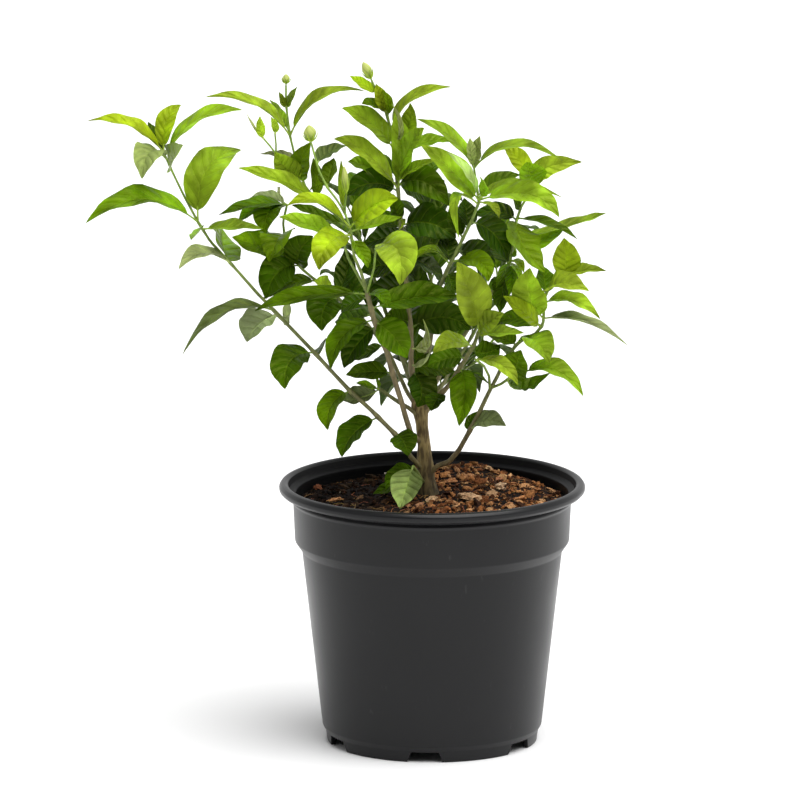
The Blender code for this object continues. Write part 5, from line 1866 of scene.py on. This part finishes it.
@dataclass
class LeafyStemPiece:
    """One leafy stem, or several grown together: its branches and all its leaves."""

    name: str
    branches: list[Path]
    leaves: list[LeafShape]
    leaf_model: LeafModel = LeafModel()
    stem_model: StemModel = StemModel()
    sharp: float = 60.0

    def build(self, axis: Vector, finishes: Sequence[bpy.types.Material]) -> bpy.types.Object:
        """Build the piece in place of its CAD node."""
        chance = random.Random(self.name)
        piece = Piece(self.name.replace("leafy_stem", "foliage"), Slot.FOLIAGE, finishes)
        for path in self.branches:
            self.stem_model.add_to(piece, path, self.leaves, chance)
        for leaf in self.leaves:
            self.leaf_model.add_to(piece, leaf, chance)
        made = piece.build(axis, self.sharp)
        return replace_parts(made, self.name)


@dataclass
class FlowerBudPiece:
    """One closed bud on a short stalk, held by a few narrow green sepals.

    A stop of a sepal is a share of the bud's length, how far out it lies in the bud's radii, and its own
    radius in millimetres.
    """

    name: str
    start: Vector
    tip: Vector
    radius: float
    sides: int = 20
    rings: int = 14
    ridges: int = 5
    ridge: float = 0.05
    sepals: int = 7
    sepal_sides: int = 5
    sharp: float = 60.0

    SEPAL = ((0.0, 0.12, 0.5), (0.14, 0.72, 0.42), (0.34, 1.04, 0.3), (0.55, 1.22, 0.08))

    def build(self, axis: Vector, finishes: Sequence[bpy.types.Material]) -> bpy.types.Object:
        """Build the piece in place of its CAD node."""
        piece = Piece(self.name.replace("flower_bud", "petals"), Slot.BUD, finishes)
        line = self.tip - self.start
        side, other = square_to(line)
        points, maps = [], []
        for ring in range(self.rings + 1):
            share = ring / self.rings
            width = self.radius * max(0.02, math.sin(math.pi * share**1.05) ** 0.72) * (1.0 - 0.12 * share)
            for i in range(self.sides):
                turn = math.tau * i / self.sides
                ridge = 1.0 + self.ridge * math.cos(self.ridges * turn + self.ridges * share)
                out = around(side, other, i, self.sides) * width * ridge
                points.append(self.start + line * share + out)
                maps.append((share, i / self.sides))
        piece.add(points, tube_faces(self.rings + 1, self.sides), Tone.PALE.value, 0, maps)
        for i in range(self.sepals):
            out = around(side, other, i, self.sepals) * self.radius
            stops = [self.start + line * share + out * reach for share, reach, _ in self.SEPAL]
            sepal = Path(stops, [radius * MM for _, _, radius in self.SEPAL])
            piece.add(*sepal.tube(self.sepal_sides), Tone.BRIGHT.value, 1)
        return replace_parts(piece.build(axis, self.sharp), self.name)


@dataclass
class TrunkPiece:
    """The woody trunk, flared and ridged at its foot and knobbly where the stems fork.

    Heights, steps and reaches are in millimetres, and how far the bark swells is a share of the radius.
    """

    path: Path
    sides: int = 56
    step: float = 0.9
    smoothing: float = 4.0
    ridges: float = 0.05
    lumps: float = 0.06
    flare_below: float = 160.0
    flare_height: float = 14.0
    flare: float = 0.16
    knob_height: float = 214.0
    knob_reach: float = 6.0
    knob: float = 0.16
    # The bark is darker towards the soil: partly damp bark and partly painted shade at the trunk's foot.
    foot_dark_below: float = 156.0
    foot_dark_fade: float = 34.0
    darkest_share: float = 0.3
    upper_lightness: float = 1.2
    sharp: float = 70.0

    def build(self, axis: Vector, finishes: Sequence[bpy.types.Material]) -> bpy.types.Object:
        """Build the piece in place of its CAD node."""
        smooth = Path.through(self.path.points, self.smoothing * MM)
        lengths = self.path.lengths
        smooth_lengths = smooth.lengths
        scale = lengths[-1] / smooth_lengths[-1]
        smooth.radii = [float(np.interp(done * scale, lengths, self.path.radii)) for done in smooth_lengths]
        stops = int(smooth_lengths[-1] / (self.step * MM))
        found = [smooth.at(smooth_lengths[-1] * i / stops) for i in range(stops + 1)]
        fine = Path([point for point, _ in found], [radius for _, radius in found])
        shape, faces = fine.tube(self.sides)
        points = []
        tints = []
        for k, point in enumerate(shape):
            ring, i = divmod(k, self.sides)
            centre, _ = found[ring]
            height = centre.z / MM
            points.append(centre + (point - centre) * self._growth(math.tau * i / self.sides, height))
            # Darker towards the foot: partly damp bark, partly painted shade.
            undarkened = held((height - self.foot_dark_below) / self.foot_dark_fade)
            tints.append((self.darkest_share + (self.upper_lightness - self.darkest_share) * undarkened,) * 3)
        piece = Piece("bark_trunk", Slot.BARK, finishes)
        piece.add(points, faces, tints)
        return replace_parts(piece.build(axis, self.sharp), "trunk")

    def _growth(self, turn: float, height: float) -> float:
        """Return how much farther out the bark lies than an even trunk, at a turn and a height."""
        across, back = math.cos(turn), math.sin(turn)
        upright = noise.fractal(Vector((across * 1.6, back * 1.6, height * 0.055)), 1.0, 2.0, 4)
        lumps = noise.noise(Vector((across, back, height * 0.14)) + Vector((7, 3, 1)))
        flare = max(0.0, (self.flare_below - height) / self.flare_height) ** 1.5 * self.flare
        flare *= 1.0 + 0.5 * math.cos(3 * turn + 1.0)
        knob = self.knob * math.exp(-(((height - self.knob_height) / self.knob_reach) ** 2))
        knob *= 1 + math.cos(2 * turn + 0.8)
        return 1.0 + self.ridges * upright * 1.5 + self.lumps * lumps + flare + knob


@dataclass
class PotPiece:
    """The nursery pot: the CAD section with its corners rounded, six foot notches and drain holes.

    Heights and reaches are in millimetres.
    """

    sizes: PotSizes
    sides: int = 192
    fillet: float = 0.7
    fillet_steps: int = 3
    inside_from: float = 128.0
    inside_reach: float = 85.7
    rim_from: float = 156.8
    rim_reach: float = 89.4
    cut_reach: float = 6.0
    cut_below: float = -4.0
    hole_sides: int = 40
    hole_from: float = 2.0
    hole_to: float = 12.0
    plain: Colour = (0.02, 0.02, 0.02)
    sharp: float = 35.0

    def section(self) -> list[tuple[float, float]]:
        """Return the wall's section with every corner rounded."""
        corners = self.sizes.section
        made = [corners[0]]
        for before, corner, after in zip(corners, corners[1:], corners[2:]):
            here = Vector(corner)
            back, ahead = Vector(before) - here, Vector(after) - here
            reach = min(self.fillet, back.length * 0.45, ahead.length * 0.45)
            start, end = here + back.normalized() * reach, here + ahead.normalized() * reach
            for step in range(self.fillet_steps + 1):
                t = step / self.fillet_steps
                point = start * (1 - t) ** 2 + here * (2 * t * (1 - t)) + end * t**2
                made.append((point.x, point.y))
        made.append(corners[-1])
        return made

    def build(self, axis: Vector, finishes: Sequence[bpy.types.Material]) -> bpy.types.Object:
        """Build the piece in place of its CAD node."""
        piece = Piece("plastic_pot", Slot.POT, finishes)
        points, faces = turned(self.section(), self.sides)
        piece.add(points, faces, self.plain)
        piece.choices = [self._finish_number([points[i] for i in face]) for face in faces]
        made = piece.build(axis, self.sharp)
        self._cut(made, [mesh for i in range(self.sizes.notches) for mesh in self._cutters(i, axis)])
        made.data.set_sharp_from_angle(angle=math.radians(self.sharp))
        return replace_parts(made, "pot")

    def _finish_number(self, corners: Sequence[Vector]) -> int:
        """Return 1 for a face of the inside wall, whose rougher copy of the plastic is also darker and less
        glossy as painted shade, 0 for any other.
        """
        middle = sum(corners, Vector()) / len(corners) / MM
        reach = self.rim_reach if middle.z > self.rim_from else self.inside_reach
        return int(middle.z > self.inside_from and middle.xy.length < reach)

    def _cutters(self, number: int, axis: Vector) -> list[bpy.types.Mesh]:
        """Return the shapes that cut one notch and one drain hole."""
        sizes = self.sizes
        turn = sizes.notch_turn + math.tau * number / sizes.notches
        out = Vector((math.cos(turn), math.sin(turn), 0.0))
        across = Vector((-out.y, out.x, 0.0))
        foot, top = sizes.notch_foot_width * 0.56, sizes.notch_top_width * 0.5
        low, high = self.cut_below, sizes.notch_height
        section = [(-foot, low), (foot, low), (top, high), (-top, high)]
        points = []
        for reach in (sizes.notch_reach - self.cut_reach, sizes.notch_reach + self.cut_reach):
            points += [(out * reach + across * wide + Vector((0, 0, level))) * MM for wide, level in section]
        faces = [(0, 3, 2, 1), (4, 5, 6, 7), (0, 1, 5, 4), (1, 2, 6, 5), (2, 3, 7, 6), (3, 0, 4, 7)]
        radius, low, high = sizes.hole_radius, self.hole_from, self.hole_to
        hole = [(0.0, low), (radius, low), (radius, high), (0.0, high)]
        hole_points, hole_faces = turned(hole, self.hole_sides)
        shift = out * sizes.hole_reach * MM
        shapes = [(points, faces), ([point + shift for point in hole_points], hole_faces)]
        return [mesh_of("cutter", [tuple(point + axis) for point in shape], sides) for shape, sides in shapes]

    @staticmethod
    def _cut(target: bpy.types.Object, meshes: Sequence[bpy.types.Mesh]) -> None:
        """Cut the shapes from the target and remove them."""
        helpers = bpy.data.collections.new("cutters")
        bpy.context.scene.collection.children.link(helpers)
        cutters = [bpy.data.objects.new("cutter", mesh) for mesh in meshes]
        for cutter in cutters:
            helpers.objects.link(cutter)
        modifier = target.modifiers.new("notches", "BOOLEAN")
        modifier.operation = "DIFFERENCE"
        modifier.operand_type = "COLLECTION"
        modifier.collection = helpers
        modifier.solver = "EXACT"
        bpy.context.view_layer.update()
        mesh = bpy.data.meshes.new_from_object(target.evaluated_get(bpy.context.evaluated_depsgraph_get()))
        target.modifiers.clear()
        target.data = mesh
        for cutter in cutters:
            bpy.data.objects.remove(cutter)
        bpy.data.collections.remove(helpers)


class Chip(NamedTuple):
    """A large piece of bark on the soil: the pixel of its middle, its millimetres long and wide, its turn."""

    place: Pixel
    length: float
    width: float
    turn: float
    tint: Colour


@dataclass
class SoilPiece:
    """The potting mix: a rough bed strewn with crumbs, bark flakes, fibres and a few pale grains, one of
    which is a painted glint.

    Heights and reaches are in millimetres.
    """

    sizes: SoilSizes
    rings: int = 84
    sides: int = 240
    crumbs: int = 2300
    flakes: int = 1150
    fibres: int = 220
    fibre_stops: int = 6
    seed: int = 5
    wall_to: float = 149.5
    rough_from: float = 149.0
    top: float = 150.0
    crowding: float = 0.85
    strewn_from: float = 8.0
    strewn_to: float = 82.0
    fibres_to: float = 82.5
    # The mix is darker towards the left: painted shade where the leaves and the rim shade it.
    shaded_until: float = -32.0
    shade_fade: float = 40.0
    darkest_share: float = 0.08
    sunk: float = 0.28
    sharp: float = 80.0
    chip_sharp: float = 40.0

    DARK = (0.012, 0.006, 0.004)
    FIBRE = (0.32, 0.18, 0.085)
    TINTS = (
        (0.022, 0.009, 0.004), (0.062, 0.024, 0.009), (0.150, 0.058, 0.020), (0.290, 0.120, 0.040),
        (0.460, 0.225, 0.085), (0.640, 0.410, 0.210),
    )
    LARGE = (
        Chip((471, 500), 15.0, 9.0, -0.5, (0.66, 0.46, 0.28)),
        Chip((431, 500), 9.5, 5.0, 0.9, (0.66, 0.48, 0.28)),
        Chip((499, 489), 11.0, 8.0, 2.2, (0.66, 0.50, 0.33)),
        Chip((491, 496), 8.0, 6.0, 1.0, (0.50, 0.33, 0.19)),
        Chip((450, 483), 9.5, 5.5, 0.5, (0.48, 0.24, 0.11)),
        Chip((468, 477), 9.0, 5.0, 2.8, (0.50, 0.27, 0.13)),
        Chip((519, 501), 10.0, 6.0, 2.7, (0.66, 0.33, 0.14)),
        Chip((489, 471), 6.5, 4.5, 1.1, (0.48, 0.33, 0.18)),
        Chip((500, 479), 9.0, 4.0, 1.2, (0.40, 0.19, 0.10)),
        Chip((516, 486), 8.5, 5.0, 0.4, (0.48, 0.24, 0.11)),
        Chip((536, 492), 8.0, 5.0, 2.0, (0.46, 0.23, 0.10)),
        Chip((553, 494), 6.0, 4.5, 0.6, (0.44, 0.27, 0.14)),
        Chip((508, 505), 7.5, 4.5, 0.9, (0.46, 0.24, 0.11)),
        Chip((452, 506), 8.0, 5.0, 2.6, (0.44, 0.25, 0.12)),
        Chip((418, 507), 9.0, 5.0, 0.2, (0.50, 0.28, 0.15)),
        Chip((408, 508), 6.0, 4.0, 1.4, (0.42, 0.22, 0.11)),
        Chip((445, 470), 7.0, 4.0, 0.8, (0.42, 0.26, 0.12)),
        Chip((457, 472), 6.0, 4.0, 2.0, (0.40, 0.22, 0.11)),
        Chip((334, 501), 10.0, 4.5, 0.05, (0.55, 0.30, 0.14)),
        Chip((318, 489), 7.0, 5.0, 1.5, (0.26, 0.10, 0.05)),
        Chip((342, 492), 3.4, 2.6, 0.0, (0.80, 0.78, 0.74)),
        # A painted glint: this pale grain stands where light glints between the leaves.
        Chip((387, 476), 4.0, 2.4, 0.2, (0.72, 0.72, 0.70)),
        Chip((360, 499), 6.0, 4.0, 0.7, (0.16, 0.10, 0.05)),
    )

    def height(self, x: float, y: float) -> float:
        """Return the bed's height at a place, all in metres."""
        reach = math.hypot(x, y) / (self.sizes.edge * MM)
        near = held((1.0 - reach) * 8.0)
        broad = noise.fractal(Vector((x * 38, y * 38, 3.0)), 1.0, 2.0, 3)
        close = noise.fractal(Vector((x * 230, y * 230, 9.0)), 0.9, 2.1, 4)
        rough = self.sizes.coarse_roughness * broad + self.sizes.fine_roughness * close
        return (self.sizes.height(x / MM, y / MM) + rough * (0.3 + 0.7 * near)) * MM

    def build(self, axis: Vector, finishes: Sequence[bpy.types.Material]) -> bpy.types.Object:
        """Build the piece in place of its CAD node."""
        bed = Piece("soil_bed", Slot.SOIL, finishes)
        edge = self.sizes.edge
        reaches = [edge * (1 - k / self.rings) ** self.crowding for k in range(1, self.rings)] + [0.0]
        section = [*self.sizes.side, (edge, self.wall_to)] + [(reach, self.top) for reach in reaches]
        points, faces = turned(section, self.sides)
        for point in points:
            if point.z > self.rough_from * MM:
                point.z = self.height(point.x, point.y)
        tints = [tuple(c * (0.75 + 0.9 * max(0.0, noise.noise(p * 160))) for c in self.DARK) for p in points]
        bed.add(points, faces, tints)
        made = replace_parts(bed.build(axis, self.sharp), "soil")
        self._strew(axis, finishes)
        return made

    def _strew(self, axis: Vector, finishes: Sequence[bpy.types.Material]) -> None:
        """Lay the loose pieces over the bed."""
        chance = random.Random(self.seed)
        loose = Piece("soil_chips", Slot.SOIL, finishes)
        for _ in range(self.crumbs):
            size = chance.uniform(0.6, 1.9) * MM
            spot = self._spot(chance)
            tint = self._tint(chance, 1.3, spot)
            self._lay(loose, spot, (size, size * 0.8, size * 0.7), chance, tint, 1)
        for _ in range(self.flakes):
            length = min(8.0, chance.lognormvariate(1.2, 0.4)) * MM
            sizes = (length, length * chance.uniform(0.4, 0.8), length * chance.uniform(0.25, 0.5))
            spot = self._spot(chance)
            self._lay(loose, spot, sizes, chance, self._tint(chance, 0.9, spot), 2)
        for chip in self.LARGE:
            sizes = (chip.length * MM, chip.width * MM, chip.width * 0.6 * MM)
            self._lay(loose, self._seen_spot(chip.place), sizes, chance, chip.tint, 3, chip.turn)
        for _ in range(self.fibres):
            self._fibre(loose, self._spot(chance), chance)
        loose.build(axis, self.chip_sharp)

    def _spot(self, chance: random.Random) -> Vector:
        """Return a place on the bed clear of the trunk and the wall."""
        while True:
            reach = self.strewn_to * math.sqrt(chance.random()) * MM
            turn = chance.uniform(0, math.tau)
            if reach > self.strewn_from * MM:
                return Vector((reach * math.cos(turn), reach * math.sin(turn), 0.0))

    def _seen_spot(self, place: Pixel) -> Vector:
        """Return the place on the bed that is seen at a pixel."""
        start = VIEW.point(*place, 0.0)
        ray = (start - VIEW.eye).normalized()
        spot = start
        for _ in range(8):
            spot = start + ray * ((self.sizes.height(spot.x / MM, spot.y / MM) * MM - start.z) / ray.z)
        return spot

    def _tint(self, chance: random.Random, darkness: float, spot: Vector) -> Colour:
        """Return one of the mix's colours, the dark ones oftener, and darker on the left side as painted
        shade under the leaves and the rim.
        """
        place = chance.random() ** darkness * (len(self.TINTS) - 1)
        low = min(int(place), len(self.TINTS) - 2)
        share = place - low
        # Painted shade: the left side of the mix is darkened.
        undarkened = held((spot.x / MM - self.shaded_until) / self.shade_fade)
        light = chance.uniform(0.7, 1.3)
        light *= self.darkest_share + (1 - self.darkest_share) * undarkened * undarkened * (3 - 2 * undarkened)
        return tuple(light * (a + (b - a) * share) for a, b in zip(self.TINTS[low], self.TINTS[low + 1]))

    def _lay(
        self,
        piece: Piece,
        spot: Vector,
        sizes: tuple[float, float, float],
        chance: random.Random,
        tint: Colour,
        detail: int,
        turn: float | None = None,
    ) -> None:
        """Lay one irregular lump on the bed.

        Args:
            piece: The piece that it joins.
            spot: Its place across the bed.
            sizes: Its length, width and thickness in metres.
            chance: Where its form comes from.
            tint: Its colour.
            detail: How finely it is divided.
            turn: Its turn about the upright, or None for any.
        """
        ball, faces = BALLS[detail]
        facing = chance.uniform(0, math.tau) if turn is None else turn
        tilt = 0.5 if turn is None else 0.25
        lean = Matrix.Rotation(chance.gauss(0, tilt), 3, "X") @ Matrix.Rotation(chance.gauss(0, tilt), 3, "Y")
        spin = Matrix.Rotation(facing, 3, "Z") @ lean
        shift = Vector([chance.uniform(-50, 50) for _ in range(3)])
        middle = Vector((spot.x, spot.y, self.height(spot.x, spot.y) + sizes[2] * self.sunk))
        made = []
        for point in ball:
            rough = 1.0 + 0.55 * noise.noise(point * 1.7 + shift) + 0.25 * noise.noise(point * 4.5 + shift)
            local = Vector((point.x * sizes[0], point.y * sizes[1], point.z * sizes[2])) * 0.5 * rough
            made.append(spin @ local + middle)
        piece.add(made, faces, tint)

    def _fibre(self, piece: Piece, spot: Vector, chance: random.Random) -> None:
        """Lay one thin curved fibre on the bed."""
        length = chance.uniform(4.0, 15.0) * MM
        turn = chance.uniform(0, math.tau)
        bend = chance.uniform(-0.5, 0.5)
        stops = []
        for k in range(self.fibre_stops):
            angle = turn + bend * k
            spot = spot + Vector((math.cos(angle), math.sin(angle), 0)) * length / (self.fibre_stops - 1)
            if spot.length > self.fibres_to * MM:
                return
            rise = (0.5 + 1.6 * abs(noise.noise(spot * 400))) * MM
            stops.append(Vector((spot.x, spot.y, self.height(spot.x, spot.y) + rise)))
        width = chance.uniform(0.12, 0.3) * MM
        tint = tuple(part * chance.uniform(0.7, 1.2) for part in self.FIBRE)
        piece.add(*Path(stops, [width] * self.fibre_stops).tube(4), tint)


def round_ball(divisions: int) -> Outline:
    """Return a ball of unit radius whose twenty sides are split this many times."""
    golden = (1 + math.sqrt(5)) / 2
    pairs = itertools.product((-1, 1), (-golden, golden))
    points = [Vector(p).normalized() for a, b in pairs for p in ((0, a, b), (a, b, 0), (b, 0, a))]
    side = min((p - q).length for p in points for q in points if p != q) * 1.01
    faces = []
    for i, j, k in itertools.combinations(range(len(points)), 3):
        a, b, c = points[i], points[j], points[k]
        if max((a - b).length, (b - c).length, (c - a).length) < side:
            outward = (b - a).cross(c - a).dot(a) > 0
            faces.append((i, j, k) if outward else (i, k, j))
    for _ in range(divisions - 1):
        middles: dict[tuple[int, int], int] = {}

        def middle(a: int, b: int) -> int:
            """Return the number of the point halfway along an edge."""
            key = (min(a, b), max(a, b))
            if key not in middles:
                middles[key] = len(points)
                points.append(((points[a] + points[b]) / 2).normalized())
            return middles[key]

        split = []
        for a, b, c in faces:
            ab, bc, ca = middle(a, b), middle(b, c), middle(c, a)
            split += [(a, ab, ca), (ab, b, bc), (ca, bc, c), (ab, bc, ca)]
        faces = split
    return points, faces


BALLS = {divisions: round_ball(divisions) for divisions in (1, 2, 3)}


@dataclass
class Studio:
    """The plain white studio: floor, sky light, lamps and camera."""

    axis: Vector
    lamps: tuple[tuple[str, Colour, float, float], ...] = (
        ("key", (0.32, -0.36, 1.2), 60.0, 3.95),
        ("left_fill", (-0.9, -0.45, 0.6), 50.0, 0.25),
    )
    sky: tuple[float, float] = (0.14, 0.95)
    overhead: float = 0.55
    floor_reach: float = 30.0
    sensor: float = 36.0
    sight: float = 100.0

    def build(self) -> None:
        """Build the whole studio."""
        self._floor()
        self._sky()
        for name, place, size, power in self.lamps:
            self._lamp(name, Vector(place), size, power)
        self._camera()
        settings = bpy.context.scene.view_settings
        settings.view_transform = "Standard"
        settings.look = "None"

    def _floor(self) -> None:
        """Lay the floor."""
        signs = ((-1, -1), (1, -1), (1, 1), (-1, 1))
        corners = [(x * self.floor_reach, y * self.floor_reach, 0) for x, y in signs]
        mesh = mesh_of("studio_floor", corners, [(0, 1, 2, 3)])
        mesh.materials.append(PlainFinish("floor_white", (0.9, 0.9, 0.9), 0.7).build())
        floor = set_out("studio_floor", mesh)

    def _sky(self) -> None:
        """Light the scene from all round, less from behind the camera, from its left and from overhead."""
        graph = Graph(bpy.data.worlds.new("studio_sky"))
        place = graph.node("ShaderNodeTexCoord", output="Generated")
        right, far, up = (graph.node("ShaderNodeSeparateXYZ", inputs={0: place}, output=k) for k in range(3))
        strength = (far + right * 0.5).step(-0.6, 0.35, *self.sky) * up.step(0.25, 0.95, 1.0, self.overhead)
        inputs = {"Color": (1.0, 1.0, 1.0, 1.0), "Strength": strength}
        light = graph.node("ShaderNodeBackground", inputs=inputs)
        bpy.context.scene.world = graph.finish(light, "ShaderNodeOutputWorld")

    def _lamp(self, name: str, place: Vector, size: float, power: float) -> None:
        """Set up one soft, distant lamp."""
        data = bpy.data.lights.new(name, "SUN")
        data.angle = math.radians(size)
        data.energy = power
        lamp = set_out(name, data)
        lamp.location = self.axis + place
        lamp.rotation_euler = (-place).to_track_quat("-Z", "Y").to_euler()

    def _camera(self) -> None:
        """Set up the camera where the photograph was taken from."""
        data = bpy.data.cameras.new("camera")
        data.sensor_width = self.sensor
        data.lens = VIEW.focal_pixels / VIEW.pixels * data.sensor_width
        data.clip_end = self.sight
        camera = set_out("camera", data)
        camera.location = self.axis + VIEW.eye
        camera.rotation_euler = (math.pi / 2 - VIEW.down, 0.0, 0.0)
        bpy.context.scene.camera = camera


def main() -> None:
    """Build every piece around the frame, then the studio."""
    logging.basicConfig(level=logging.INFO, format="%(message)s")
    low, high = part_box("pot")
    axis = Vector(((low.x + high.x) / 2, (low.y + high.y) / 2, 0.0))
    layout = Layout()
    plastic = [
        PlasticFinish("pot_plastic_fine", (0.0058, 0.0059, 0.0066), 0.33, 0.26).build(),
        # The inside wall's copy of the plastic is darker and less glossy: painted shade inside the pot.
        PlasticFinish("pot_plastic_inside", (0.0040, 0.0040, 0.0045), 0.5, 0.15).build(),
    ]
    PotPiece(POT).build(axis, plastic)
    SoilPiece(SOIL).build(axis, [SoilFinish("soil_mix_fine").build()])
    barks = ((0.110, 0.076, 0.030), (0.320, 0.235, 0.092), (0.460, 0.360, 0.175))
    TrunkPiece(layout.trunk).build(axis, [BarkFinish("bark_fine", *barks).build()])
    stem_skin = StemFinish("stem_skin").build()
    foliage = [
        stem_skin,
        LeafFinish("leaf_above", 0.3, 0.36, 0.5).build(),
        LeafFinish("leaf_below", 0.6, 0.36, 0.55, 0.15).build(),
    ]
    for name, branches in layout.full_stems.items():
        LeafyStemPiece(name, branches, layout.leaves[name]).build(axis, foliage)
    bud_finishes = [BudFinish("bud_petals", (0.30, 0.41, 0.045), (0.54, 0.61, 0.15)).build(), stem_skin]
    for name, (start, tip, radius) in layout.buds.items():
        FlowerBudPiece(name, start, tip, radius).build(axis, bud_finishes)
    Studio(axis).build()


if __name__ == "__main__":
    main()
